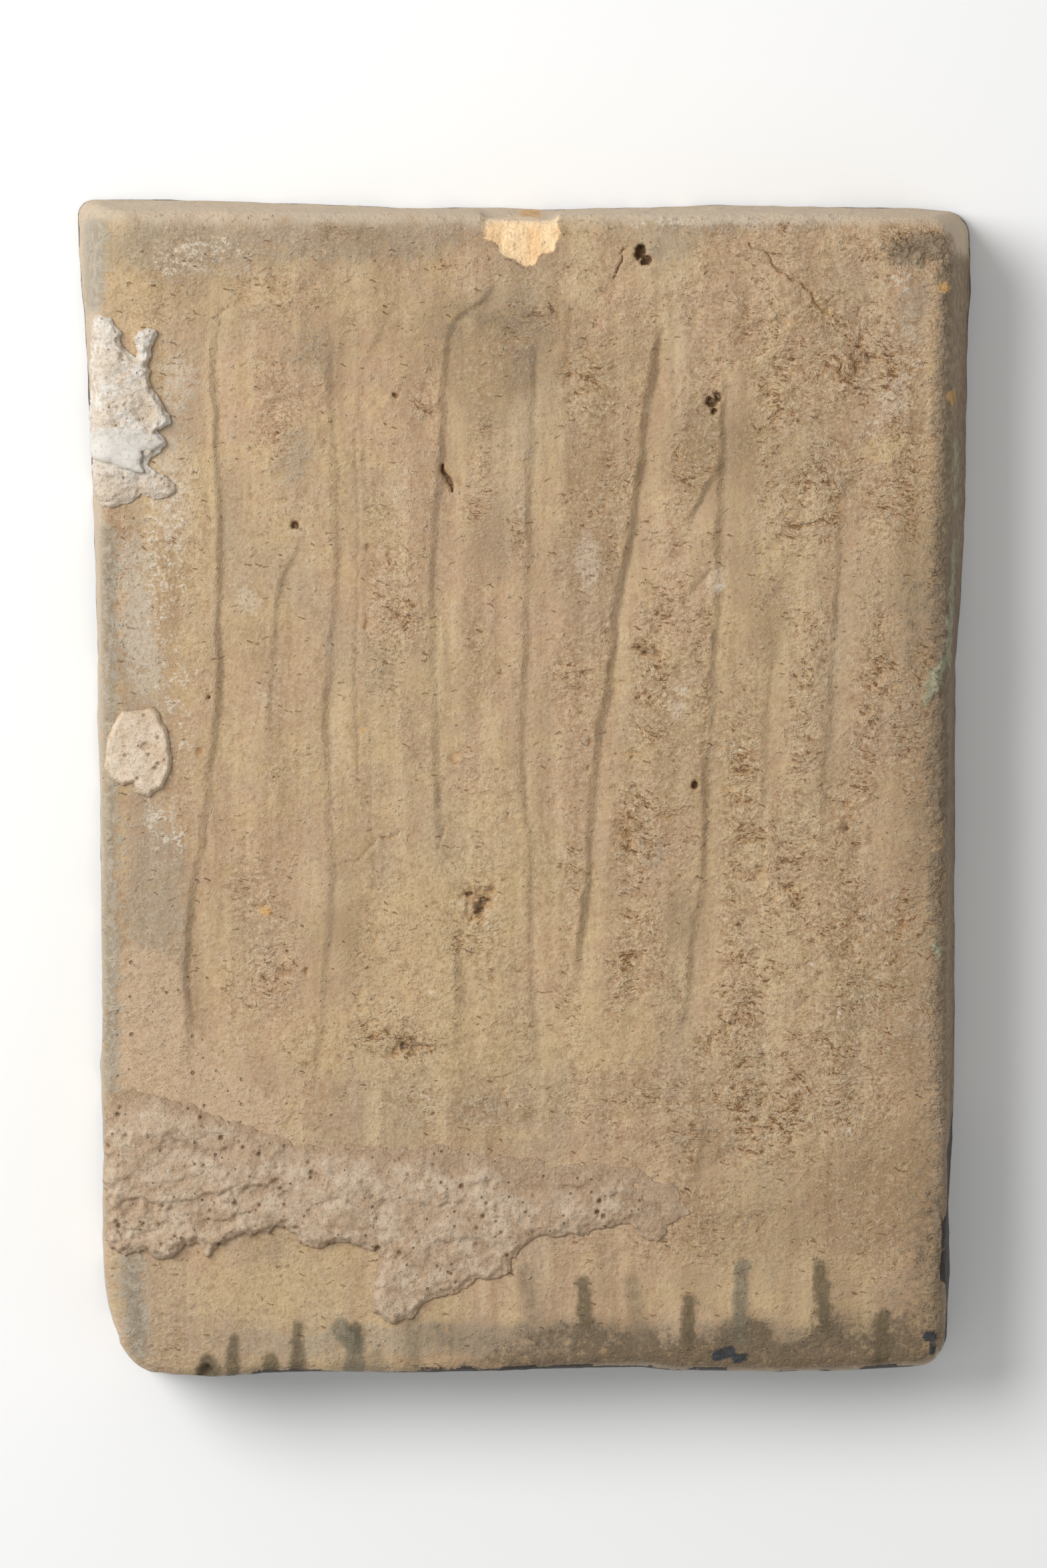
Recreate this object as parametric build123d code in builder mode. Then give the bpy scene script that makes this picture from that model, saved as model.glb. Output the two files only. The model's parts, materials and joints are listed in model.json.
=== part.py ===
"""A handmade painted tile of straw-tempered clay, lying on its painted face.

Millimetres. The origin is the middle of the painted face, +Z points out of the back,
+Y runs to the tile's top edge and +X to the right, looking down on the back.
"""

import os
from math import cos, radians, sin

from build123d import *

# The fired body
thickness = 36.0
back_width = 234.0
back_length = 322.4
flare_top = 9.4  # how far the painted face stands out past the back at the top corners
flare_bend = 4.2  # the same where its sides bend
flare_low = 3.4  # the same at the bottom corners
flare_end = 5.0  # the same at the top and bottom edges
bend_height = 34.0  # the bend in the sides lies this far above the middle
side_bow = 0.4  # the back's own sides stand out this far at the bend
top_drop = 3.0  # the top edge falls by this much from left to right
corner_radius = 6.5
worn_width = 14.0  # the lower left corner is worn round, over this width
worn_height = 32.0
back_arris = 3.6
arris_steps = 3  # straight bands that make up the rounded back arris
face_arris = 1.2

# Furrows drawn down the back with a finger: a steep wall, then a long gentle slope
furrow_wall_run = 1.6
furrow_clear = 0.6  # how far each furrow's cutter stands above the back
furrow_run_out = 0.1  # the furrow's floor ends this far above the back

# Chip at the top edge and notch at the bottom edge
chip_width = 23.0
chip_depth = 1.6
notch_radius = 2.6
notch_reach = 3.0

# Setting mortar left on the back
mortar_skin = 1.3
mortar_step = 1.4
mortar_top_step = 1.3
mortar_seat = 7.0  # how far down the tile's side the mortar laps
patch_skin = 1.4
patch_step = 1.6
plaster_depth = 0.7
dab_depth = 2.2


def place(across, along):
    """A place on the back, as shares of its half width and half length from the middle."""
    return (across * back_width / 2, along * back_length / 2)


def tile_outline(height, inset):
    """The tile's outline at one height: its sides lean in from the painted face to the back.

    The inset draws the whole outline in, where an arris is rounded.
    """
    lean = 1 - height / thickness
    half_width = back_width / 2 - inset
    half_top = half_width + flare_top * lean
    half_bend = half_width + side_bow + flare_bend * lean
    half_low = half_width + flare_low * lean
    half_length = back_length / 2 + flare_end * lean - inset
    with BuildSketch(Plane.XY.offset(height)) as outline:
        with BuildLine():
            Polyline(
                (-half_low, worn_height - half_length),
                (-half_bend, bend_height),
                (-half_top, half_length),
                (half_top, half_length - top_drop),
                (half_bend, bend_height),
                (half_low, -half_length),
                (worn_width - half_low, -half_length),
            )
            EllipticalCenterArc(
                (worn_width - half_low, worn_height - half_length), worn_width, worn_height, 180, arc_size=90
            )
        make_face()
        corners = [(-half_top, half_length), (half_top, half_length - top_drop), (half_low, -half_length)]
        fillet([outline.vertices().sort_by_distance(corner)[0] for corner in corners], corner_radius)
    return outline.sketch


def body_sections():
    """Outlines from the painted face up: its small arris, the leaning side, the rounded back arris."""
    sections = [tile_outline(0, face_arris), tile_outline(face_arris, 0)]
    for step in range(arris_steps + 1):
        turn = radians(90 * step / arris_steps)
        height = thickness - back_arris * (1 - sin(turn))
        sections.append(tile_outline(height, back_arris * (1 - cos(turn))))
    return sections


def furrow(ridge, depth, width):
    """A cutter for one furrow: it follows its ridge line and rises clear of the back at both ends."""
    sections = []
    for number, (across, along) in enumerate(ridge):
        x, y = place(across, along)
        at_end = number in (0, len(ridge) - 1)
        floor = thickness + furrow_run_out if at_end else thickness - depth
        with BuildSketch(Plane.XZ.offset(-y)) as section:
            with BuildLine():
                Polyline(
                    (x, thickness + furrow_clear),
                    (x + furrow_wall_run, floor),
                    (x + width, thickness + furrow_clear),
                    close=True,
                )
            make_face()
        sections.append(section.sketch)
    with BuildPart() as cutter:
        loft(sections, ruled=True)
    return cutter.part


def scoop(across, along, width, depth):
    """A shallow round hollow in the back, of the given width and depth."""
    radius = (width**2 / 4 + depth**2) / (2 * depth)
    x, y = place(across, along)
    with Locations((x, y, thickness - depth + radius)):
        Sphere(radius, mode=Mode.SUBTRACT)


def layer(points, height, seat):
    """A flat-topped crust on the back: its outline as places, its height above the back."""
    with BuildSketch(Plane.XY.offset(thickness - seat)) as outline:
        with BuildLine():
            Polyline(*[place(across, along) for across, along in points], close=True)
        make_face()
    extrude(outline.sketch, amount=seat + height)


# Ridge lines from the top down as places on the back, each with its furrow's depth and width
furrows = [
    (
        [(-0.74, 0.83), (-0.73, 0.63), (-0.72, 0.48), (-0.73, 0.25), (-0.75, 0.06), (-0.80, -0.20),
         (-0.81, -0.30), (-0.80, -0.44)],
        1.9,
        27,
    ),
    (
        [(-0.46, 0.82), (-0.45, 0.57), (-0.45, 0.37), (-0.47, 0.22), (-0.47, 0.03), (-0.46, -0.15),
         (-0.48, -0.31), (-0.52, -0.56)],
        1.2,
        24,
    ),
    ([(-0.06, 0.91), (-0.13, 0.84), (-0.19, 0.77), (-0.21, 0.52), (-0.23, 0.25), (-0.21, -0.10)], 1.2, 21),
    ([(0.02, 0.80), (0.01, 0.57), (-0.01, 0.15), (0.01, -0.12), (0.02, -0.41)], 0.9, 14),
    (
        [(0.33, 0.83), (0.29, 0.70), (0.25, 0.50), (0.20, 0.24), (0.16, 0.05), (0.15, -0.08),
         (0.13, -0.22), (0.12, -0.31)],
        2.0,
        20,
    ),
    ([(0.46, 0.77), (0.46, 0.51), (0.44, 0.24), (0.42, 0.00), (0.41, -0.18), (0.37, -0.42)], 1.2, 24),
    ([(0.76, 0.58), (0.74, 0.37), (0.72, 0.21), (0.71, 0.02), (0.70, -0.10)], 0.8, 20),
]

# Pits burnt out by straw and stones: place across and along, width and depth
pits = [
    (0.27, 0.93, 3.6, 1.6),
    (0.45, 0.67, 3.4, 1.5),
    (-0.30, 0.69, 2.4, 1.1),
    (-0.54, 0.47, 2.6, 1.1),
    (0.79, 0.74, 7.0, 1.2),
    (0.29, 0.24, 7.5, 1.2),
    (0.25, 0.08, 5.0, 0.9),
    (-0.17, 0.07, 6.5, 1.2),
    (-0.11, -0.17, 8.0, 1.8),
    (0.76, -0.05, 6.0, 1.1),
    (-0.27, -0.43, 6.0, 1.2),
    (0.41, 0.02, 2.6, 1.2),
]

# The tile: drafted sides, rounded back arris, furrows, pits, chip and notch
with BuildPart() as tile:
    loft(body_sections(), ruled=True)
    for ridge, depth, width in furrows:
        add(furrow(ridge, depth, width), mode=Mode.SUBTRACT)
    for across, along, width, depth in pits:
        scoop(across, along, width, depth)
    scoop(-0.01, 0.97, chip_width, chip_depth)
    with Locations((*place(-0.76, -1.0), thickness)):
        Cylinder(notch_radius, 2 * notch_reach, mode=Mode.SUBTRACT)
tile.part.label = "tile"

# The ragged band of mortar across the lower left, in three broken layers
with BuildPart() as mortar_band:
    layer(
        [
            (-0.99, -0.51), (-0.85, -0.49), (-0.72, -0.53), (-0.57, -0.52), (-0.56, -0.61), (-0.20, -0.61),
            (0.17, -0.63), (0.36, -0.67), (0.40, -0.72), (0.32, -0.76), (0.20, -0.74), (0.03, -0.76),
            (-0.01, -0.78), (-0.05, -0.83), (-0.24, -0.88), (-0.31, -0.91), (-0.36, -0.89), (-0.34, -0.80),
            (-0.45, -0.77), (-0.52, -0.78), (-0.57, -0.74), (-0.71, -0.77), (-0.90, -0.79), (-0.97, -0.80),
        ],
        mortar_skin,
        mortar_seat,
    )
    layer(
        [
            (-0.96, -0.60), (-0.78, -0.56), (-0.66, -0.60), (-0.52, -0.66), (-0.22, -0.65), (-0.10, -0.67),
            (0.22, -0.68), (0.33, -0.72), (0.16, -0.73), (-0.04, -0.75), (-0.09, -0.81), (-0.25, -0.86),
            (-0.31, -0.88), (-0.33, -0.78), (-0.46, -0.75), (-0.57, -0.72), (-0.72, -0.76), (-0.94, -0.78),
        ],
        mortar_skin + mortar_step,
        0,
    )
    layer(
        [
            (-0.94, -0.66), (-0.76, -0.64), (-0.55, -0.69), (-0.33, -0.70), (-0.18, -0.73), (-0.14, -0.78),
            (-0.24, -0.81), (-0.36, -0.75), (-0.56, -0.71), (-0.74, -0.73), (-0.92, -0.72),
        ],
        mortar_skin + mortar_step + mortar_top_step,
        0,
    )
    add(tile.part, mode=Mode.SUBTRACT)
mortar_band.part.label = "mortar_band"

# The lump of mortar that laps over the upper left edge
with BuildPart() as mortar_patch_upper:
    layer(
        [
            (-1.03, 0.82), (-0.97, 0.82), (-0.96, 0.77), (-0.93, 0.76), (-0.89, 0.81), (-0.86, 0.79),
            (-0.88, 0.74), (-0.87, 0.69), (-0.83, 0.65), (-0.84, 0.60), (-0.88, 0.58), (-0.88, 0.55),
            (-0.84, 0.56), (-0.84, 0.53), (-0.91, 0.53), (-0.94, 0.50), (-0.98, 0.48), (-1.03, 0.48),
        ],
        patch_skin,
        mortar_seat,
    )
    layer(
        [
            (-0.98, 0.72), (-0.91, 0.73), (-0.87, 0.69), (-0.85, 0.65), (-0.86, 0.61), (-0.90, 0.58),
            (-0.91, 0.55), (-0.97, 0.56), (-0.99, 0.60),
        ],
        patch_skin + patch_step,
        0,
    )
    add(tile.part, mode=Mode.SUBTRACT)
mortar_patch_upper.part.label = "mortar_patch_upper"

# The skim of white plaster on that lump
with BuildPart() as plaster_dab:
    with BuildSketch(Plane.XY.offset(thickness + patch_skin + patch_step)) as skim:
        with BuildLine():
            Polyline(
                place(-0.98, 0.62),
                place(-0.92, 0.63),
                place(-0.86, 0.62),
                place(-0.90, 0.58),
                place(-0.91, 0.56),
                place(-0.96, 0.57),
                place(-0.98, 0.59),
                close=True,
            )
        make_face()
    extrude(amount=plaster_depth)
plaster_dab.part.label = "plaster_dab"

# The small pale lump halfway down the left side
with BuildPart() as mortar_patch_middle:
    layer(
        [
            (-0.95, 0.15), (-0.87, 0.16), (-0.84, 0.10), (-0.83, 0.07), (-0.86, 0.02), (-0.89, 0.00),
            (-0.92, 0.02), (-0.97, 0.03), (-0.99, 0.07), (-0.97, 0.12),
        ],
        dab_depth,
        mortar_seat,
    )
    add(tile.part, mode=Mode.SUBTRACT)
mortar_patch_middle.part.label = "mortar_patch_middle"

os.makedirs("parts", exist_ok=True)
export_step(tile.part, "parts/tile.step")
export_step(mortar_band.part, "parts/mortar_band.step")
export_step(mortar_patch_upper.part, "parts/mortar_patch_upper.step")
export_step(plaster_dab.part, "parts/plaster_dab.step")
export_step(mortar_patch_middle.part, "parts/mortar_patch_middle.step")
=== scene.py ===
import json
import math

import bpy
import numpy as np
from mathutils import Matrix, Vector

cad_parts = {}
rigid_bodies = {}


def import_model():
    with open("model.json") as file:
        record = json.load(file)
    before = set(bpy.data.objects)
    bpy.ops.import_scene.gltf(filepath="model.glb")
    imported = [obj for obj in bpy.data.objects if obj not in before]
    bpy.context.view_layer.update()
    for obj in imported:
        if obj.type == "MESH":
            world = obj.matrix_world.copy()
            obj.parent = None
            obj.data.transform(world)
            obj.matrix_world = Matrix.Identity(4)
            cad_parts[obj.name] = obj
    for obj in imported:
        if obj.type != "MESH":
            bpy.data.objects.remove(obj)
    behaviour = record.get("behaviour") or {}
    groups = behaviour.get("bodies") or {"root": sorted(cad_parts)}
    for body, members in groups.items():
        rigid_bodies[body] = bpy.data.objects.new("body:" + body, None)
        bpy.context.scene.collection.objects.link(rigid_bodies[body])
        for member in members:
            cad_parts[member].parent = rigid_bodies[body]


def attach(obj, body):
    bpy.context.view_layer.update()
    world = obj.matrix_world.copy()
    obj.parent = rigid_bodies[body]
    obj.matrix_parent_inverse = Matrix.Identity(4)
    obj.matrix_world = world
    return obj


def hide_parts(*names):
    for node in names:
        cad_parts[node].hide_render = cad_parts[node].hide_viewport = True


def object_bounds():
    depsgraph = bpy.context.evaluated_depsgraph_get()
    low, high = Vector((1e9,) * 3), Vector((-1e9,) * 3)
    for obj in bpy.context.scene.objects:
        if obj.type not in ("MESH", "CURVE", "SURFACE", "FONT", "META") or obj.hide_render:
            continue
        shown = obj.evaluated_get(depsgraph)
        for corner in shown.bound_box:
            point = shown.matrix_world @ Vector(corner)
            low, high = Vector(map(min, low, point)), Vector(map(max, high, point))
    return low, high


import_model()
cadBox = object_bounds()
print("packed tile loaded")

mm = 0.001
farAway = 1e9
fieldReach = 4.0  # painted distances are kept within this many millimetres


# Small helpers for the sculpted surfaces. All of them work in millimetres.
def smoothStep(low, high, value):
    share = np.clip((value - low) / (high - low), 0.0, 1.0)
    return share * share * (3.0 - 2.0 * share)


def lumps(x, y, size, seed):
    # soft random lumps about that far apart, from -1 to 1
    cells = 128
    table = np.random.default_rng(seed).random((cells, cells)) * 2.0 - 1.0
    column, row = x / size, y / size
    i, j = np.floor(column).astype(int), np.floor(row).astype(int)
    u, v = column - i, row - j
    u, v = u * u * (3.0 - 2.0 * u), v * v * (3.0 - 2.0 * v)
    i, j, nextI, nextJ = i % cells, j % cells, (i + 1) % cells, (j + 1) % cells
    low = table[i, j] * (1.0 - u) + table[nextI, j] * u
    high = table[i, nextJ] * (1.0 - u) + table[nextI, nextJ] * u
    return low * (1.0 - v) + high * v


def layered(x, y, *layers):
    # lumps of several sizes added up, each with its height, size and seed
    total = 0.0
    for height, size, seed in layers:
        total = total + height * lumps(x, y, size, seed)
    return total


def waved(run, *layers):
    # the same along a line
    return layered(run, np.zeros(run.shape), *layers)


def follow(points, at):
    # the line through the points, read off at these places
    places, values = zip(*points)
    return np.interp(at, places, values)


def ovalAway(x, y, centreX, centreY, halfWidth, halfHeight):
    # 0 in the middle of an oval and 1 on its rim
    return np.hypot((x - centreX) / halfWidth, (y - centreY) / halfHeight)


def awayFromRun(x, y, start, end):
    # distance to the straight run between two points
    along = np.array(end, float) - np.array(start, float)
    length = max(float(np.dot(along, along)), 1e-9)
    share = np.clip(((x - start[0]) * along[0] + (y - start[1]) * along[1]) / length, 0.0, 1.0)
    return np.hypot(x - start[0] - share * along[0], y - start[1] - share * along[1])


def insideBy(x, y, outline):
    # distance in from a closed outline, negative outside it
    nearest = np.full(x.shape, farAway)
    inside = np.zeros(x.shape, bool)
    for start, end in zip(outline, outline[1:] + outline[:1]):
        nearest = np.minimum(nearest, awayFromRun(x, y, start, end))
        if start[1] != end[1]:
            crosses = (start[1] > y) != (end[1] > y)
            inside ^= crosses & (x < (end[0] - start[0]) * (y - start[1]) / (end[1] - start[1]) + start[0])
    return np.where(inside, nearest, -nearest)


def softMarks(x, y, marks):
    # soft oval marks (x, y, half width, half height, amount) added up, from 0 to 1
    total = np.zeros(x.shape)
    for *oval, amount in marks:
        total += amount * smoothStep(1.35, 0.25, ovalAway(x, y, *oval))
    return np.clip(total, 0.0, 1.0)


def startClean():
    if bpy.context.object and bpy.context.object.mode != "OBJECT":
        bpy.ops.object.mode_set(mode="OBJECT")
    bpy.ops.object.select_all(action="DESELECT")


def readPoints(piece):
    flat = np.zeros(len(piece.data.vertices) * 3)
    piece.data.vertices.foreach_get("co", flat)
    return flat.reshape(-1, 3)


def writePoints(piece, *columns):
    piece.data.vertices.foreach_set("co", np.stack(columns, 1).ravel())
    piece.data.update()


def paint(piece, name, values):
    # a value for each vertex, which the material reads by its name
    field = piece.data.attributes.new(name, "FLOAT", "POINT")
    field.data.foreach_set("value", np.ascontiguousarray(values, dtype=np.float32))


def faceMiddles(piece):
    flat = np.zeros(len(piece.data.polygons) * 3)
    piece.data.polygons.foreach_get("center", flat)
    return flat.reshape(-1, 3)


def editFaces(piece, chosen):
    # goes into edit mode with just these faces selected
    bpy.ops.object.mode_set(mode="EDIT")
    bpy.ops.mesh.select_mode(type="FACE")
    bpy.ops.mesh.select_all(action="DESELECT")
    bpy.ops.object.mode_set(mode="OBJECT")
    piece.data.polygons.foreach_set("select", chosen.astype(bool))
    piece.data.update()
    bpy.ops.object.mode_set(mode="EDIT")


def selectRim():
    bpy.ops.mesh.select_all(action="SELECT")
    bpy.ops.mesh.region_to_loop()


def extrudeDown(rings):
    # draws the selected edges down ring by ring, closes the bottom and turns the skin outwards
    for ring in range(rings):
        bpy.ops.mesh.extrude_region_move(TRANSFORM_OT_translate={"value": (0.0, 0.0, -1.0)})
    bpy.ops.mesh.edge_face_add()
    bpy.ops.mesh.select_all(action="SELECT")
    bpy.ops.mesh.normals_make_consistent(inside=False)
    bpy.ops.object.mode_set(mode="OBJECT")


def smoothAll(piece):
    startClean()
    piece.select_set(True)
    bpy.context.view_layer.objects.active = piece
    bpy.ops.object.shade_smooth()


# The tile's shape. Edges are (along, across) in millimetres from the middle of the painted face.
tileShape = {
    "thickness": 36.0,
    "halfAcross": 118.0,
    "halfAlong": 161.0,
    "columns": 226,
    "rows": 244,
    "arris": 3.4,
    "arrisSteps": 5,
    "sideHeights": [27, 21.5, 16, 10.5, 6, 3],
    "faceArris": 1.2,
    "faceLeft": [
        (-166, -118.9), (-140, -118.9), (-125.2, -119.6), (-116.2, -119), (-106.2, -118.9), (-97.2, -119.5),
        (-87.2, -119.4), (-77.2, -120.3), (-68.2, -119.1), (-58.2, -119.5), (-30.2, -119.9), (-2.2, -119.8),
        (16.8, -120.6), (35.8, -120.5), (54.8, -120.8), (73.8, -121.3), (92.8, -122.1), (110.8, -122.8),
        (129.8, -124), (138.8, -124.9), (148.8, -125.6), (166, -126.1),
    ],
    "faceRight": [
        (-166, 120.3), (-155, 120.5), (-144.2, 120.8), (-135.2, 121.5), (-116.2, 121), (-97.2, 121.9),
        (-68.2, 122.5), (7.8, 122.2), (35.8, 122.4), (45.8, 123.1), (63.8, 124.1), (82.8, 124.8), (110.8, 125),
        (129.8, 125.5), (138.8, 126.2), (157.8, 125.9), (166, 125.7),
    ],
    "faceTop": [
        (-126, 166.1), (-98, 166), (-79, 165.4), (-51, 164.6), (-33, 163.7), (-5, 163.6), (5, 163.1), (33, 163.9),
        (52, 164.4), (70, 163.9), (99, 163.6), (108, 162.9), (126, 162.2),
    ],
    "faceBottom": [
        (-120, -164.5), (-108, -165.2), (-99, -165.6), (-90, -165.7), (-80, -165.6), (-72, -165.2), (-60, -165.6),
        (-44, -165.3), (-30, -165), (-12, -165.2), (10, -164.6), (28, -164.4), (43, -165.4), (71, -165.6),
        (92, -165.4), (109, -164.2), (122, -163.4),
    ],
    "backLeft": [(-166, -117.3), (-60, -117.2), (0, -117), (34, -117.1), (100, -117.2), (166, -117.6)],
    "backRight": [(-166, 117.9), (-60, 118), (0, 117.8), (34, 117.9), (100, 118.2), (166, 118)],
    "backTop": [(-120, 162), (-60, 161.4), (-20, 161), (6, 160.4), (40, 161), (80, 160.8), (120, 159.8)],
    "backBottom": [
        (-120, -160.6), (-107, -160.7), (-98, -162.1), (-88, -162.4), (-79, -162), (-70, -161.2), (-32, -161.2),
        (-4, -160.7), (14, -159.8), (33, -159.7), (42, -160.8), (70, -160.8), (89, -160.7), (107, -159.7),
        (120, -159),
    ],
    # corners: side in x, side in y, radius in x, radius in y
    "corners": [(-1, 1, 5.5, 5), (1, 1, 7, 7), (1, -1, 8, 8.5), (-1, -1, 14, 32)],
    "notch": (-88.5, -160.8),
    "notchDepth": 3.4,
}

# Ridges drawn by a finger, from the top down: points, drop, width of the wall, reach of the slope after it
furrowLines = [
    ([(-86, 134), (-86, 124), (-86, 102), (-84.5, 77), (-85, 57), (-85, 40), (-86, 23), (-87.5, 9),
      (-89, -3), (-90.5, -15), (-93, -27), (-94, -36), (-94.5, -48), (-94, -61), (-93.2, -80)], 1.4, 1.7, 26),
    ([(-62, 76), (-63, 71), (-65.5, 64), (-68.5, 58), (-69.3, 53), (-69.5, 45), (-70, 37), (-70.5, 26),
      (-71, 12), (-71.5, 2)], 0.75, 1.5, 12),
    ([(-54, 132), (-54.5, 112), (-53, 91), (-52.5, 77), (-52.5, 60), (-54, 49), (-55, 35), (-55.5, 22),
      (-55.5, 5), (-54.5, -10), (-53.5, -23), (-54.5, -30), (-55, -42), (-56.5, -51), (-57, -61),
      (-58, -71), (-59.5, -82), (-60.5, -90)], 1.03, 1.8, 22),
    ([(-35, 139), (-38.5, 132), (-43.5, 122), (-46.5, 116), (-46, 102), (-45, 91), (-45, 77)], 0.52, 1.5, 12),
    ([(-7, 147), (-9, 141), (-12, 137), (-16, 135), (-20.5, 131), (-22, 124), (-23, 113), (-23.5, 95),
      (-24.5, 84), (-25.5, 77), (-26, 57), (-26.5, 40), (-25.5, 19), (-25, 3), (-24.3, -26)], 1.03, 1.8, 21),
    ([(-18.5, -38), (-18.5, -63), (-20.5, -71), (-22.5, -83)], 0.52, 1.6, 14),
    ([(-7, 65), (-8.5, 54), (-10, 40), (-10.5, 36)], 0.39, 1.4, 9),
    ([(2.5, 130), (2, 121), (1.5, 106), (0.5, 91), (0.5, 74), (0, 40), (-1.5, 23), (-1, -2), (0.5, -10),
      (1, -20), (1, -46), (2, -66), (3, -90)], 0.88, 1.6, 18),
    ([(38.5, 134), (37, 130), (35, 121), (34, 113), (32.5, 107), (31, 91), (29.5, 80), (28.5, 73),
      (27, 66), (25.5, 58), (24.5, 49), (23.5, 40), (23, 30), (21, 23), (19.5, 17), (18.5, 8),
      (17.5, -3), (17, -12), (17, -24), (15.5, -35), (14.5, -42), (13.5, -52), (12.5, -64)], 1.74, 2, 20),
    ([(54.5, 124), (54, 100), (53.5, 82), (52.5, 64), (52.5, 53), (51.5, 38), (50.5, 20), (49.5, 4),
      (49, -15), (48, -28), (46, -40), (45, -50), (43, -67), (42, -76)], 1.1, 1.8, 22),
    ([(50.5, -83), (49.5, -94), (47.5, -103), (46.5, -112), (46, -115)], 0.64, 1.6, 14),
    ([(68, 47), (67, 33), (66, 20), (66, 3), (65, -10)], 0.6, 1.6, 15),
    ([(89, 93), (88, 84), (87, 77), (86, 60), (85, 47), (84, 34), (83.5, 20), (82.5, 3), (82.5, -16)], 0.71, 1.6, 18),
    ([(100.5, 64), (99.5, 40), (97, 8), (94.5, -38), (94, -57)], 0.34, 1.5, 14),
    ([(30.5, -38), (29, -49), (27.5, -64), (26, -76)], 0.39, 1.5, 12),
    ([(54.5, 95), (51.8, 89), (48, 81.5), (45.5, 77.5), (42.6, 71.5)], 1.05, 1.6, 8),
    ([(52.6, 65), (48, 60.5), (42.3, 53.5)], 0.85, 1.5, 7),
    ([(74, 103), (70.5, 97), (68.5, 90)], 0.34, 1.4, 7),
]
furrowShape = {
    "seed": 100,
    "seedStep": 5,
    "strength": 0.9,
    "wallShare": 1.15,
    "slopePower": 1.5,
    "lip": 0.08,
}

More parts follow.
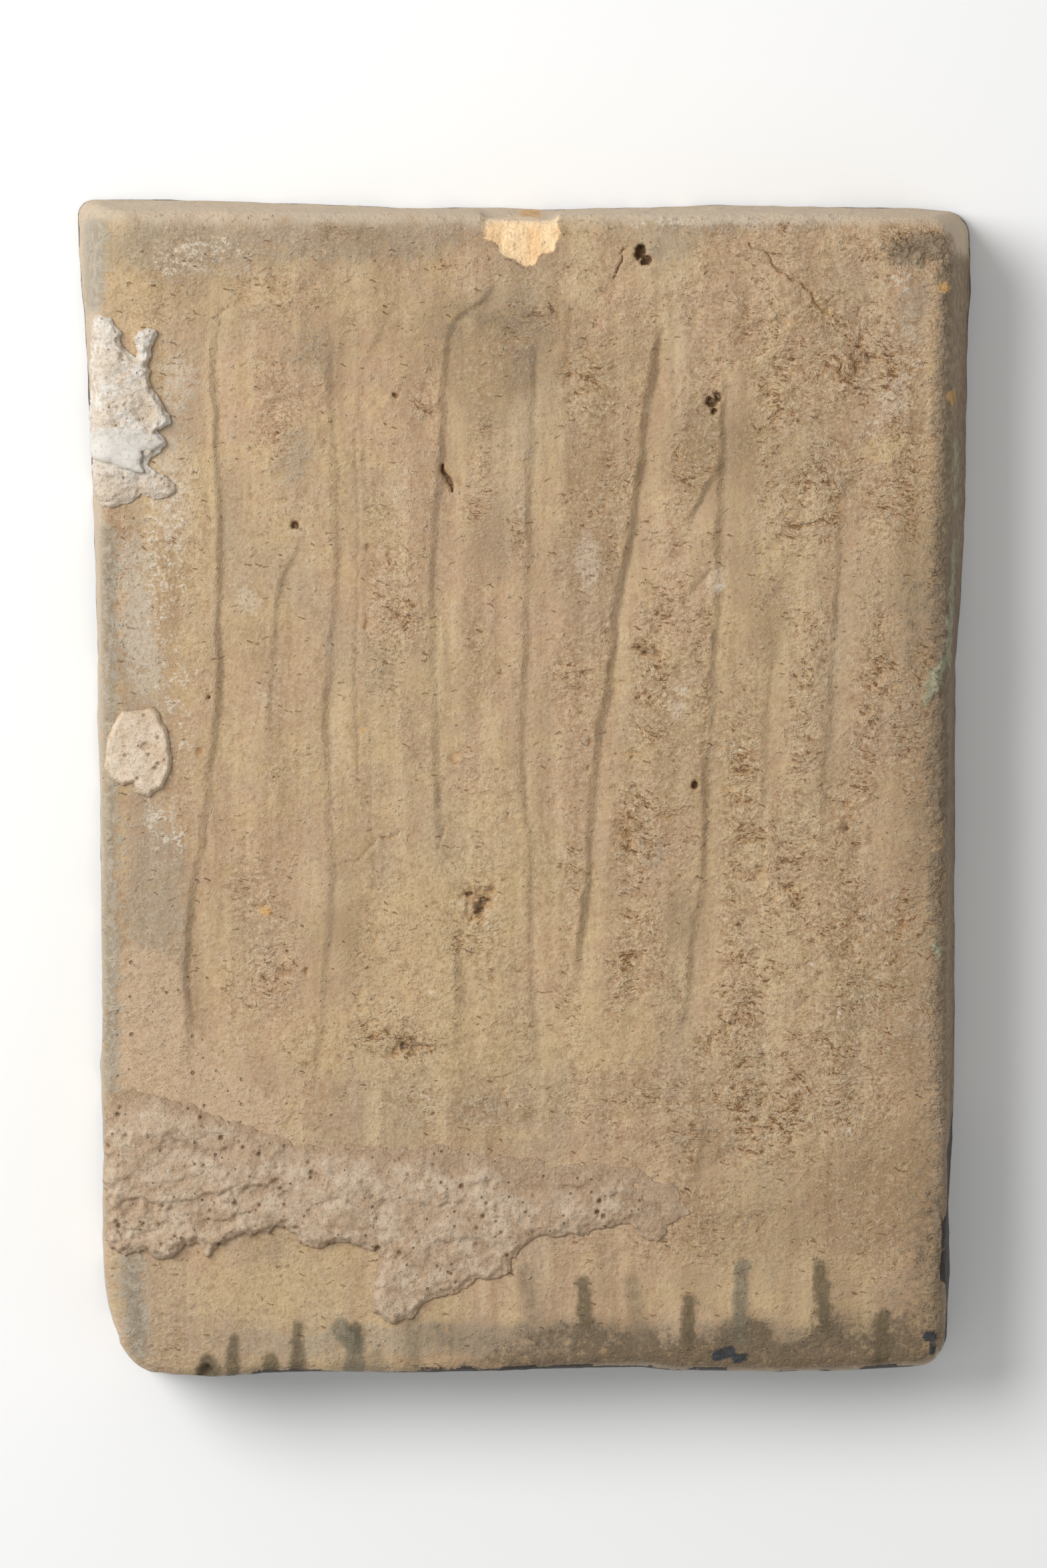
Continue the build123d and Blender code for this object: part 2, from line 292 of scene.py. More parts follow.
# Marks on the back. Ovals are (x, y, half width, half height, depth or amount).
tileMarks = {
    "pits": [
        (32, 40.3, 4.2, 2.4, 1.35), (37, 40.2, 3.6, 2.3, 1.05), (89.6, -7.6, 2.4, 5, 1.4),
        (84, 134.5, 2.6, 2.6, 0.8), (29, 12, 4.5, 2.5, 1), (28, -10.5, 5, 4.5, 1), (40.5, -6, 4.5, 1.5, 0.7),
        (56.5, 13.5, 5, 2, 0.6), (65.5, -21.5, 3, 3, 0.8), (89.5, -3, 3, 6, 0.8), (-19.5, 11, 3.5, 3, 1),
        (-12.5, -29, 4.5, 5.5, 2.1), (-9, -26, 3.4, 2.4, 1.2), (-15.5, -33.5, 2.6, 3.2, 1.1),
        (-32, -69.5, 4.5, 2.6, 1.5), (-36, -72, 3, 2, 1), (-13, -67.5, 3, 1.5, 0.8), (-18, -86.5, 2, 1.5, 0.7),
        (-44, 47.5, 2.5, 1.5, 0.6), (8.5, -2, 2.5, 2, 0.6), (-77.5, 16.5, 3, 2, 0.5), (-66.5, 32, 2, 1, 0.6),
        (-73, -31, 3.5, 2, 0.6), (79.5, 30.5, 3.5, 2, 0.5), (55.5, 2.5, 4, 2, 0.6), (26, 2.5, 3.5, 2.5, 0.5),
        (92.4, 120, 3.6, 3, 0.75), (-17.5, 87.5, 1.5, 3.5, 0.9), (-34, 50.5, 3, 2, 0.6), (56, -101.5, 5.5, 2, 0.5),
        (51, -94, 3, 2, 0.5), (-8, -51.5, 4, 3, 0.5), (-58, -18, 1.5, 1, 0.6), (-66.5, -48.5, 2.5, 5, 0.5),
        (40, -68, 3.5, 2, 0.4), (80, -57, 4.5, 3, 0.4), (17.5, 34, 1.5, 1.5, 0.4), (104.5, -8.5, 2.5, 1.5, 0.4),
        (85, 42.5, 3, 2, 0.4), (-26.5, 113.5, 2, 1.5, 0.4), (-3.5, 102, 2, 1.5, 0.4), (14, 133.5, 4.5, 2, 0.5),
        (73, 131.5, 3.5, 1.5, 0.5), (60, 127, 5, 1, 0.4), (96, -97, 3.5, 2, 0.4), (69.5, -83, 4.5, 2.5, 0.5),
    ],
    "holes": [
        (-33, -69.5, 2, 1.5, 1.5), (-30.5, -68, 1.2, 1, 1.2), (-35.5, -70.5, 1, 0.8, 0.9),
        (-60, -48.5, 0.6, 1, 0.8), (32, 150.5, 1.5, 2, 3), (34, 148, 1.5, 1.5, 2.4), (52, 109, 1.5, 1.5, 2.2),
        (53.5, 110.5, 1, 1.5, 2), (52.5, 106.5, 1, 1, 1.8), (-35.5, 111, 1, 1, 1.4), (-63, 75.5, 1, 1.5, 1.5),
        (47.5, 3, 1, 1.5, 1.8), (-87, 27.5, 0.5, 0.5, 1.3), (-89.5, 12.5, 1, 1, 0.9), (13, 116.5, 0.5, 1, 0.8),
        (-69, 119.5, 0.5, 0.5, 0.7), (52.5, 7, 0.5, 0.5, 0.6), (-43, 69, 0.5, 1, 0.8), (-43.5, 47.5, 0.5, 1, 0.8),
        (18.5, 15, 0.5, 1, 0.8), (18, 8, 0.5, 1, 0.8), (-56.5, 80, 0.5, 0.5, 0.6), (-75, 83, 0.5, 0.5, 0.7),
    ],
    "clusters": [
        (-88, 142, 22, 10, 0.34), (-62, 138, 20, 9, 0.3), (-104, 128, 7, 14, 0.36), (-30, 146, 16, 7, 0.26),
        (-70, 104, 9, 16, 0.26), (104, 88, 9, 22, 0.4), (32.5, 34, 9, 24, 0.9), (29, -10.5, 9, 16.5, 1),
        (30.5, -45.5, 8.5, 20.5, 0.7), (57.5, 8, 8, 27.5, 0.9), (55.5, -25.5, 7.5, 18.5, 0.8),
        (75, 21, 6.5, 29.5, 0.7), (73, 117, 27.5, 22, 0.36), (97, 124.5, 16.5, 16.5, 0.3),
        (84, 82, 20.5, 16.5, 0.6), (101, 32, 11, 29.5, 0.5), (97.5, -47.5, 15, 29.5, 0.55),
        (90, 2.5, 7.5, 16.5, 0.6), (60.5, -92.5, 18, 12, 0.66), (82.5, -79.5, 22, 22, 0.42),
        (56.5, -64.5, 11, 22, 0.55), (-36, 54.5, 8, 27.5, 0.85), (-43, 91, 5.5, 22, 0.6),
        (-15.5, 87.5, 7.5, 20.5, 0.8), (-26.5, 111.5, 9, 9, 0.5), (3, 80, 8, 22, 0.6), (8.5, 36, 7.5, 16.5, 0.5),
        (-17.5, 6, 8.5, 11, 0.6), (-14.5, -34.5, 8.5, 16.5, 0.8), (-30, -68, 13, 8, 0.62),
        (-17.5, -85, 22, 7.5, 0.55), (8.5, -68, 11, 22, 0.5), (-49, 6, 7.5, 16.5, 0.4), (-67.5, 12, 9, 11, 0.3),
        (-71, -45.5, 11, 20.5, 0.35), (-76.5, -25.5, 11, 11, 0.4), (-47, -42, 7.5, 16.5, 0.4),
        (14, 109.5, 9, 16.5, 0.5), (-4.5, 133.5, 13, 11, 0.4), (40, 91, 13, 22, 0.5), (-67, 69, 7.5, 13, 0.25),
        (-82.5, -68, 11, 9, 0.3), (40, -118.5, 22, 11, 0.25), (-52.5, -68, 16.5, 11, 0.5), (14, -18, 7.5, 11, 0.5),
        (75, -23.5, 7.5, 15, 0.6),
    ],
    "smoothWiped": [
        (-75, -137.5, 27.5, 11, 1), (-78.5, 49, 10, 61, 0.7), (-56.5, -38.5, 7.5, 37, 0.4),
        (19.5, -29, 3.5, 46, 0.6), (52, -38.5, 3, 37, 0.4), (3, -23.5, 9, 22, 0.4), (40, -141, 77.5, 11, 0.6),
        (-26.5, -10.5, 7.5, 22, 0.5), (-85.5, 109.5, 5.5, 37, 0.5),
    ],
    # cracks: points, width, depth
    "cracks": [
        ([(-23.7, -15), (-21.5, -8.5), (-18, -4.8), (-12.5, -3.2), (-7.8, -3.5), (-3.5, -5.5),
          (-0.8, -8.6)], 0.45, 0.45),
        ([(-23.5, -20), (-17, -15), (-11, -12.5)], 0.4, 0.4),
        ([(61.5, 153), (63, 152), (67.5, 150), (68.5, 147.5), (71, 144.5), (74, 143), (76.5, 142),
          (78.5, 139.5), (80, 137), (82, 135), (83.5, 133.5)], 0.7, 1),
        ([(59, 130), (63.5, 128.5), (65.5, 130.5), (70, 131), (74.5, 131.5), (76.5, 133.5)], 0.57, 0.6),
        ([(83, 136), (85, 138), (87, 139)], 0.65, 0.7),
        ([(93, 135), (92, 132.5), (93, 130), (93, 126), (92.5, 123), (93.5, 120.5)], 0.57, 0.7),
        ([(88, 137.5), (91, 135), (95, 135.5), (98, 137)], 0.49, 0.5),
        ([(88, 120.5), (87, 118), (88.5, 116), (90.5, 115)], 0.73, 1),
        ([(88.5, 121.5), (90.5, 122.5), (93.5, 123.5), (95, 122), (94.5, 119.5)], 0.57, 0.7),
        ([(-22.5, 92), (-21.5, 89), (-20, 87), (-19.5, 84.5)], 1.22, 1.6),
        ([(30.5, 151.5), (28.5, 152), (26.5, 150.5)], 0.65, 1),
        ([(27, 149), (27.5, 147), (26, 145), (24.5, 143.5)], 0.65, 1),
        ([(-53, -19.5), (-49, -18.5), (-46, -18), (-43.5, -15), (-40.5, -12), (-36.5, -11), (-32, -9)], 0.53, 0.7),
        ([(-83, 12.5), (-78.5, 12), (-74.5, 10.5), (-71, 8.5), (-66.5, 9.5)], 0.49, 0.5),
        ([(-52.5, -1), (-50, 0.5), (-46.5, 1.5)], 0.49, 0.5),
        ([(3, 135.5), (7, 134), (10.5, 132.5), (14.5, 130)], 0.57, 0.7),
        ([(-4.5, 131.5), (1, 131), (5, 128)], 0.41, 0.4),
        ([(97, 26.5), (104.5, 26.5), (111, 26.5)], 0.37, 0.3),
        ([(98, 21), (104.5, 21), (111, 21)], 0.37, 0.3),
        ([(103.5, 16), (109.5, 16)], 0.37, 0.3),
        ([(104, 11), (109, 11), (114, 11)], 0.37, 0.3),
        ([(-72.5, 137.5), (-78.5, 137), (-83, 134.5), (-85, 132.5)], 0.49, 0.6),
        ([(-66.5, 14), (-67.5, 19), (-65.5, 25)], 0.37, 0.3),
        ([(12, -20.5), (15, -20), (18.5, -21)], 0.65, 0.8),
        ([(-46.6, 104), (-46.2, 92), (-45.4, 78), (-45.7, 60), (-46.2, 42), (-46, 26), (-45.6, 6)], 0.5, 0.48),
        ([(37, -5), (40, -6), (42, -6.5)], 0.65, 0.8),
        ([(42.5, 36), (45.5, 38), (47.5, 39.5)], 0.49, 0.5),
    ],
    "warm": [
        (70, -50, 40, 40, 0.3), (-30, -72, 30, 16, 0.4), (-10, -20, 30, 30, 0.2), (0, -45, 44, 40, 0.3),
        (72, 5, 30, 60, 0.34), (30, -60, 30, 30, 0.25), (-70, -140, 34, 12, 0.35), (-52, 92, 3.5, 22, 0.6),
        (-107.5, 148, 8.5, 14, 0.55), (-41.5, 109.5, 5, 7.5, 0.6), (-89, 87.5, 11, 22, 0.5),
        (-34, -42, 29.5, 26, 0.6), (-56.5, -68, 20.5, 13, 0.6), (14, -68, 22, 11, 0.5),
        (-48.5, 131.5, 5.5, 11, 0.4), (-75, -137.5, 26, 10, 0.5), (99, 95, 4, 4.4, 1), (103, 99.5, 3.4, 3.6, 0.8),
        (83.5, 135.5, 4, 4, 0.9), (69, 102, 3.5, 9, 0.4), (-1, -94, 7, 2.5, 0.8), (76.5, 117, 11, 11, 0.3),
        (25, 36, 11, 16.5, 0.4), (53, 54.5, 9, 16.5, 0.3), (-98.5, 117, 5.5, 11, 0.4), (-63.5, 124.5, 11, 11, 0.3),
        (14, -102.5, 5.5, 2.5, 0.7), (27, -90.5, 5.5, 3.5, 0.5), (-15.5, -1, 22, 11, 0.3),
    ],
    "pink": [
        (75, -19.5, 10, 5.5, 0.9), (103, -27.5, 11, 9.5, 0.8), (60.5, -94, 11, 11, 0.3), (36.5, -21.5, 5, 5, 0.5),
        (-34, -38.5, 9, 5.5, 0.3), (-26.5, 80, 7.5, 11, 0.4), (84, 54.5, 22, 22, 0.35), (95, 63.5, 16.5, 11, 0.3),
        (17.5, 80, 7.5, 11, 0.4), (73, 84, 11, 11, 0.35), (-80.5, -79.5, 22, 11, 0.6), (-52.5, -90.5, 11, 7.5, 0.5),
        (-48.5, 49, 11, 15, 0.3), (-65.5, -31, 11, 11, 0.4), (73, 25, 7.5, 11, 0.3), (32.5, -83, 16.5, 11, 0.4),
        (-99, -29, 7.5, 11, 0.4), (112, -1, 7.5, 37, 0.4),
    ],
    # greyer marks; the long ones along the bottom edge are also painted shade where the arris turns from the light
    "grey": [
        (-100, -35, 13, 46, 0.34), (-100, 20, 12, 26, 0.28), (-96, 150, 26, 12, 0.34), (0, 156, 112, 6, 0.34),
        (112, 136, 10, 16, 0.3), (-53, 154, 12, 5.5, 0.9), (-20, 129, 8, 6, 0.5), (-30, 154, 14, 6, 0.5),
        (-64, 94, 6, 11, 0.6), (-83, 80, 3.5, 24, 0.4), (-62, 152, 46, 9, 0.5), (-100, 151, 16, 9, 0.4),
        (-105, -40, 11, 42, 0.4), (-107, 24, 9, 34, 0.34), (-80, 128, 26, 12, 0.3), (-52, 156.5, 16.5, 5, 0.8),
        (0, 128, 7.5, 16.5, 0.8), (-89, 152, 13, 5.5, 0.4), (-15.5, 159, 11, 3.5, 0.5),
        (-101.5, -23.5, 7.5, 16.5, 0.6), (35.5, -15, 5, 5.5, 0.7), (42, -94, 3.5, 11, 0.3),
        (-12, -87.5, 13, 5, 0.5), (-107, 54.5, 5, 37, 0.6), (-96.5, 106, 11, 22, 0.5), (39.5, 150, 11, 5.5, 0.4),
        (106, 133.5, 5, 11, 0.5), (-65.5, -53, 5.5, 9, 0.3), (3, 98.5, 5.5, 9, 0.4), (56, 159, 33.5, 3.5, 0.4),
        (73.5, -53, 5, 22, 0.3), (21.5, -150.5, 77.5, 5.5, 0.6), (-41.5, -152.5, 59, 5.5, 0.6),
        (83, -152.5, 29.5, 5.5, 0.5), (68, -131.5, 5.5, 11, 0.4), (114.5, -103.5, 3.5, 37, 0.5),
        (-58, 122.5, 7.5, 9, 0.5), (-84, -10.5, 7.5, 16.5, 0.2),
    ],
    # darker marks: partly darker clay, partly painted shade where less light falls, some of it over the pits
    "dark": [
        (8, 153, 9, 7, 0.35), (-8, 155, 12, 6, 0.2), (-11, 112, 8, 12, 0.2), (-68, -76, 12, 10, 0.25),
        (47, -97, 8, 9, 0.22), (48, -139, 10, 8, 0.22), (86, -139, 12, 8, 0.24), (100, -118, 12, 10, 0.22),
        (67, 112, 9, 9, 0.2), (66, 30, 9, 30, 0.22), (112, -60, 10, 70, 0.22), (28, 70, 8, 9, 0.2),
        (-11, 106, 8, 12, 0.2), (85, 12, 9, 24, 0.18), (-49, 110, 9, 14, 0.26), (8, 136, 12, 9, 0.26),
        (47, 90, 9, 14, 0.22), (106, -80, 12, 30, 0.26), (47, -97, 8, 10, 0.24), (-84, 150, 20, 7, 0.22),
        (85, -140, 14, 9, 0.22), (47, -140, 9, 8, 0.2), (-10, 76, 8, 16, 0.26), (58, 70, 10, 14, 0.24),
        (-14, 122, 12, 12, 0.24), (45, -34, 8, 14, 0.24), (104, -60, 12, 18, 0.24), (0, 124, 16, 16, 0.3),
        (57, 100, 16, 16, 0.22), (85, -122, 16, 14, 0.35), (55, -124, 26, 12, 0.28), (-10, 112, 10, 14, 0.3),
        (48, 104, 14, 14, 0.3), (105, 10, 13, 64, 0.32), (96, -108, 18, 18, 0.42), (66, 62, 12, 16, 0.26),
        (44, -34, 8, 12, 0.3), (-50, -34, 8, 10, 0.26), (-17, 123, 20, 16, 0.48), (20, 123, 22, 16, 0.4),
        (-55, 126, 18, 14, 0.36), (-92, 140, 20, 12, 0.4), (22, 93, 22, 18, 0.42), (62, 92, 20, 16, 0.46),
        (3, 66, 38, 15, 0.36), (-17, 93, 16, 12, 0.3), (-52, -45, 18, 18, 0.38), (100, -112, 22, 22, 0.52),
        (60, -112, 24, 16, 0.38), (-30, 150, 40, 10, 0.34), (68, 48, 10, 12, 0.36), (112, 10, 10, 40, 0.28),
        (0, 117, 5, 7.5, 0.5), (0.5, -88, 2.5, 3, 0.9), (-48.5, 155.5, 11, 4.5, 0.5), (-24.5, 135.5, 5.5, 9, 0.3),
        (56, -94, 7.5, 7.5, 0.4), (29, -10.5, 4.5, 5, 0.5), (-12.5, -29.5, 3.5, 5, 0.5), (34.5, 39, 3.5, 2.5, 0.4),
        (-32, -69.5, 4.5, 2.5, 0.6), (-44, 60, 3, 11, 0.4), (58, 130, 13, 7.5, 0.3), (-44.5, -29, 2, 2.5, 0.4),
    ],
    # mostly painted shade with some grime: darker towards the right edge, where the light falls off, along the bottom
    # edge, where the arris turns from the light, and in the top middle
    "shadeAndGrime": [
        (118.5, 48, 5, 56, 0.55), (116, 0, 5, 34, 0.3), (55, -155, 82, 11, 0.55), (112, -140, 14, 26, 0.28),
        (32, -153, 6, 5, 0.45), (62, -153, 8, 6, 0.5), (84, -154, 7, 6, 0.5), (101, -157, 7, 5, 0.5),
        (17, -151, 5, 4, 0.3), (46, -154, 5, 5, 0.4), (-46, -158, 14, 4, 0.4), (-84, -160, 16, 3, 0.35),
        (-8, -150, 22, 9, 0.22), (60, -160, 78, 6.5, 0.95), (18, -149, 18, 6, 0.32), (62, -151, 9, 9, 0.4),
        (98, -147, 20, 12, 0.34), (113, -112, 10, 34, 0.35), (114, -10, 13, 88, 0.34), (108, 62, 12, 34, 0.28),
        (-9, 134, 20, 9, 0.42), (2, 116, 10, 14, 0.25), (-60, -163.5, 52, 3, 0.45), (-24, -150, 8, 6, 0.25),
        (108, 140, 7, 9, 0.28), (-16, 72, 6, 10, 0.2), (52, -98, 5, 12, 0.15), (84, -146, 5, 9, 0.35),
    ],
    "haze": [
        (-69, 28, 8, 12, 0.35), (-11, -34, 7, 12, 0.35), (-108, 52, 8, 16, 0.4), (8, -12, 8, 30, 0.22),
        (-20, 8, 20, 26, 0.16), (18, 66, 4.5, 10, 0.8), (-97, 84, 7, 26, 0.65), (-104, 36, 7, 14, 0.6),
        (-100, -6, 8, 7, 0.45), (102, 110, 6, 8, 0.85), (103, 128, 8, 10, 0.4), (-108, 60, 7, 20, 0.5),
        (52, 60, 5, 6, 0.5), (-60, 75, 8, 20, 0.25), (-22, 60, 6, 20, 0.25), (-95, 116, 7, 9, 0.6),
        (-76, 54, 4, 8, 0.5), (-88, 149, 16, 8, 0.5), (108, -62, 9, 10, 0.35), (117, -90, 3, 24, 0.6),
        (62, 160, 44, 3, 0.55), (-34, 84, 5, 14, 0.3), (42, 26, 5, 8, 0.55), (-112, -118, 5, 18, 0.45),
    ],
    "lime": [
        (-98, 62, 6, 26, 0.55), (-97, 20, 6, 18, 0.6), (-99, -10, 5, 10, 0.5), (104, 143, 5, 5, 0.8),
        (-89, 151, 11, 4, 0.9), (-94.5, 147, 7.5, 2.5, 0.7), (-98.5, 80, 5.5, 15, 0.5), (-101.5, 60, 2.5, 7.5, 0.6),
        (-102.5, 50.5, 3, 3.5, 0.5), (107.5, 144.5, 4.5, 3.5, 0.8), (99.5, 102, 5.5, 3.5, 0.6),
        (102.5, 117, 7.5, 11, 0.4), (-26.5, -85, 3.5, 2, 0.5), (94, -148.5, 11, 2, 0.4), (118, -94, 1.5, 7.5, 0.6),
        (121, -83, 1, 11, 0.6), (-95, 34, 5.5, 3, 0.6), (-99, -8.5, 5.5, 4.5, 0.4), (35.5, 25.5, 3.5, 2, 0.5),
        (-102.5, -1, 3, 2.5, 0.6), (65.5, 163, 18.5, 1.5, 0.6), (36, 158, 11, 1.5, 0.7), (-100, 163, 11, 1.5, 0.5),
    ],
    "chalk": [
        (45, 30, 1.5, 2.4, 0.6), (42.5, 24.5, 1.4, 2.4, 0.4), (58.5, 13.8, 0.7, 0.6, 1), (60, 12.4, 0.8, 0.6, 1),
        (58.1, 12.2, 0.6, 0.5, 1), (88, -59.5, 1.3, 1.2, 0.8), (89.5, -94, 1.6, 1, 0.8), (80.5, -47, 1.6, 1, 0.6),
        (81.5, -81.5, 1.2, 1.2, 0.5), (-25, -54, 1.2, 1.2, 0.7), (53.5, 58, 2, 1.6, 0.55), (53, 55.5, 1.5, 1, 0.5),
        (-17.5, -29, 1.2, 1.2, 0.4),
    ],
    # drips of glaze: start, end, half width, kind
    "drips": [
        ((-88, -157.5), (-88, -162), 1.9, "olive"), ((-81, -151.8), (-81, -160), 1.5, "olive"),
        ((-70.5, -157), (-70.5, -161.5), 1.4, "olive"), ((-63, -147.8), (-63, -160), 1.6, "olive"),
        ((-50.8, -148.6), (-49, -152), 2.6, "teal"), ((-46.8, -149.6), (-47, -152.5), 2.5, "olive"),
        ((-47, -151), (-47.3, -160), 2, "teal"), ((-40.5, -156), (-40.5, -159.5), 1.7, "faint"),
        ((-31, -144), (-30.5, -159), 2.2, "faint"), ((0, -133), (3, -145.5), 2.4, "faint"),
        ((16.5, -136), (17.5, -146.5), 2.1, "olive"), ((30, -135), (33, -152.5), 2.2, "faint"),
        ((46, -140.5), (45.5, -151.5), 2, "olive"), ((61, -131), (60, -150.5), 2.2, "teal"),
        ((82.5, -131.5), (84, -147.5), 2.1, "olive"), ((100, -145.5), (100, -156), 2.2, "olive"),
    ],
    "wash": [
        (-115.5, -43), (-108, -41), (-101, -43), (-95.5, -44.5), (-92.5, -51.5), (-91, -62.5), (-86, -70),
        (-78.5, -77.5), (-70.5, -83), (-66.5, -85), (-65.5, -93.5), (-65, -97.5), (-66.5, -100), (-84.5, -94),
        (-116, -94),
    ],
    "chip": [
        (-12.5, 168), (-12.5, 160), (-11.5, 157), (-11, 154), (-7.5, 152.5), (-6, 150), (-2, 148), (0.5, 146.5),
        (3, 147), (5.5, 149.5), (8.5, 150), (9, 153), (11, 155.5), (9.5, 158), (10.5, 160), (9.5, 168),
    ],
}

# Glaze that ran round the edges: start, end, half width
glazeRuns = {
    "darkGlaze": [
        ((118, 146.5), (117.5, 80), 3.9), ((115.5, 76.5), (116.5, 36), 2.6), ((117, 34), (116.5, -3), 3.9),
        ((115, -18), (115.5, -38.5), 2.2), ((116, -40), (116.5, -78), 2.6), ((117, -81), (117, -88.5), 2.2),
        ((115.5, -112), (115.5, -152), 2), ((103.5, 150.5), (114, 152), 3.7), ((118, -94), (118.5, -122.5), 1.7),
    ],
    "mauveGlaze": [
        ((-118.5, 156.5), (-119, 138), 4.1), ((-109.5, -131.5), (-107, -154), 3.1),
        ((-115, 73), (-114.5, -19.5), 2.5), ((-115, -19.5), (-114.5, -122.5), 2.3),
    ],
    "paleGlaze": [
        ((120, 70.5), (119, 54.5), 0.9), ((119, 54.5), (117.5, 38.5), 1.1), ((117.5, 38.5), (114, 33.5), 1.7),
        ((114.5, 33.5), (113, 30.5), 2.2), ((113, 30.5), (111.5, 26.5), 1.1), ((114.5, -41.5), (115, -43), 1.3),
        ((120, 98.5), (120, 80), 0.9),
    ],
    "blueGlaze": [
        ((54, -156), (57.5, -155), 1.7), ((59.5, -157), (61.5, -156.5), 1.3), ((112.5, -151), (114, -150.5), 1.5),
        ((114, -154), (114, -155), 1.1),
    ],
    "orangeSpot": [
        ((115.5, 141), (116, 140.5), 1.3), ((118.5, 111), (118.5, 110), 1.5), ((0, 161.5), (4, 161.5), 1.1),
        ((-71.5, -32), (-70.5, -32), 0.9), ((-45, 19), (-44.5, 18.5), 0.6),
    ],
}


def planPlace(across, along, height, inset):
    # a place in the tile's plan: shares from -1 to 1, the height, and how far its edge is drawn in
    lean = 1.0 - height / tileShape["thickness"]
    x, y = across * tileShape["halfAcross"], along * tileShape["halfAlong"]

    def edge(side, at):
        back = follow(tileShape["back" + side], at)
        return back + (follow(tileShape["face" + side], at) - back) * lean

    left, right = edge("Left", y) + inset, edge("Right", y) - inset
    low, top = edge("Bottom", x) + inset, edge("Top", x) - inset
    x = left + (right - left) * (across + 1.0) / 2.0
    y = low + (top - low) * (along + 1.0) / 2.0
    for sideX, sideY, radiusX, radiusY in tileShape["corners"]:
        fromX = (right - x) if sideX > 0 else (x - left)
        fromY = (top - y) if sideY > 0 else (y - low)
        u, v = 1.0 - fromX / radiusX, 1.0 - fromY / radiusY
        near = (u > 0.0) & (v > 0.0)
        safeU, safeV = np.where(near, u, 1.0), np.where(near, v, 1.0)
        turn = math.pi / 4.0 * np.where(safeU >= safeV, safeV / safeU, 2.0 - safeU / safeV)
        reach = np.maximum(safeU, safeV)
        moveX = (reach * np.cos(turn) - safeU) * radiusX * sideX
        moveY = (reach * np.sin(turn) - safeV) * radiusY * sideY
        x, y = np.where(near, x + moveX, x), np.where(near, y + moveY, y)
    return x, y


def furrowCuts(x, y):
    # for each furrow how deep it cuts, how far it has faded in, and the distance past its ridge:
    # a steep wall right of the ridge, then a long slope back up
    for number, (ridge, drop, wall, reach) in enumerate(furrowLines):
        seed = furrowShape["seed"] + furrowShape["seedStep"] * number
        rowX, rowY = zip(*reversed(ridge))
        line = np.interp(y, rowY, rowX) + waved(y, (0.45, 7.0, seed), (0.18, 2.4, seed + 1))
        line = line + 0.08 * lumps(x, y, 1.5, seed + 3)
        past = x - line
        length = rowY[-1] - rowY[0]
        foot, head = min(26.0, length * 0.35), min(12.0, length * 0.3)
        fade = smoothStep(rowY[0] - 1.0, rowY[0] + foot, y)
        fade = fade * (1.0 - smoothStep(rowY[-1] - head, rowY[-1] + 1.0, y))
        fade = furrowShape["strength"] * fade * (1.0 + waved(y, (0.26, 17.0, seed + 2), (0.12, 4.5, seed + 4)))
        wallWidth = furrowShape["wallShare"] * wall * (1.0 + waved(y, (0.22, 9.0, seed + 6)))
        slope = (1.0 - np.clip((past - wallWidth) / reach, 0.0, 1.0)) ** furrowShape["slopePower"]
        ragged = 0.6 + 0.7 * lumps(x, y, 3.1, seed + 5)
        lip = furrowShape["lip"] * drop * np.exp(-(((past + 0.5) / 0.8) ** 2)) * ragged
        fall = np.clip(past / wallWidth, 0.0, 1.0)
        yield fade * (drop * fall * slope - lip), fade, past, drop, wall


def tornShare(x, y):
    # how torn and strawy the clay is, from wiped smooth to rough
    torn = 0.22 + 0.20 * smoothStep(-20.0, 60.0, x) + layered(x, y, (0.16, 17.0, 31), (0.12, 6.0, 32))
    shiftedX, shiftedY = x + 2.5 * lumps(x, y, 8.0, 33), y + 3.0 * lumps(x, y, 9.0, 34)
    torn = torn + 0.58 * softMarks(shiftedX, shiftedY, tileMarks["clusters"])
    torn = torn - 0.6 * softMarks(x, y, tileMarks["smoothWiped"])
    for cut, fade, past, drop, wall in furrowCuts(x, y):
        wiped = smoothStep(-0.5, 0.8, past) * (1.0 - smoothStep(4.0, 9.0 + 3.0 * drop, past))
        torn = torn - min(0.6, 0.75 * drop) * fade * wiped
    return np.clip(torn, 0.0, 1.0)


def crackDepth(x, y, points, width, depth, seed):
    wobbleX = x + layered(x, y, (0.5, 3.0, seed), (0.38, 1.5, seed + 3))
    wobbleY = y + layered(x, y, (0.5, 3.0, seed + 1), (0.38, 1.5, seed + 2))
    nearest = np.full(x.shape, farAway)
    for start, end in zip(points, points[1:]):
        nearest = np.minimum(nearest, awayFromRun(wobbleX, wobbleY, start, end))
    (firstX, firstY), (lastX, lastY) = points[0], points[-1]
    ends = np.minimum(np.hypot(x - firstX, y - firstY), np.hypot(x - lastX, y - lastY))
    thin = width * (0.45 + 0.55 * smoothStep(0.0, 3.0, ends)) * (1.0 + 0.4 * lumps(x, y, 2.0, seed + 2))
    return depth * (1.0 - smoothStep(0.15 * thin, thin, nearest)), nearest


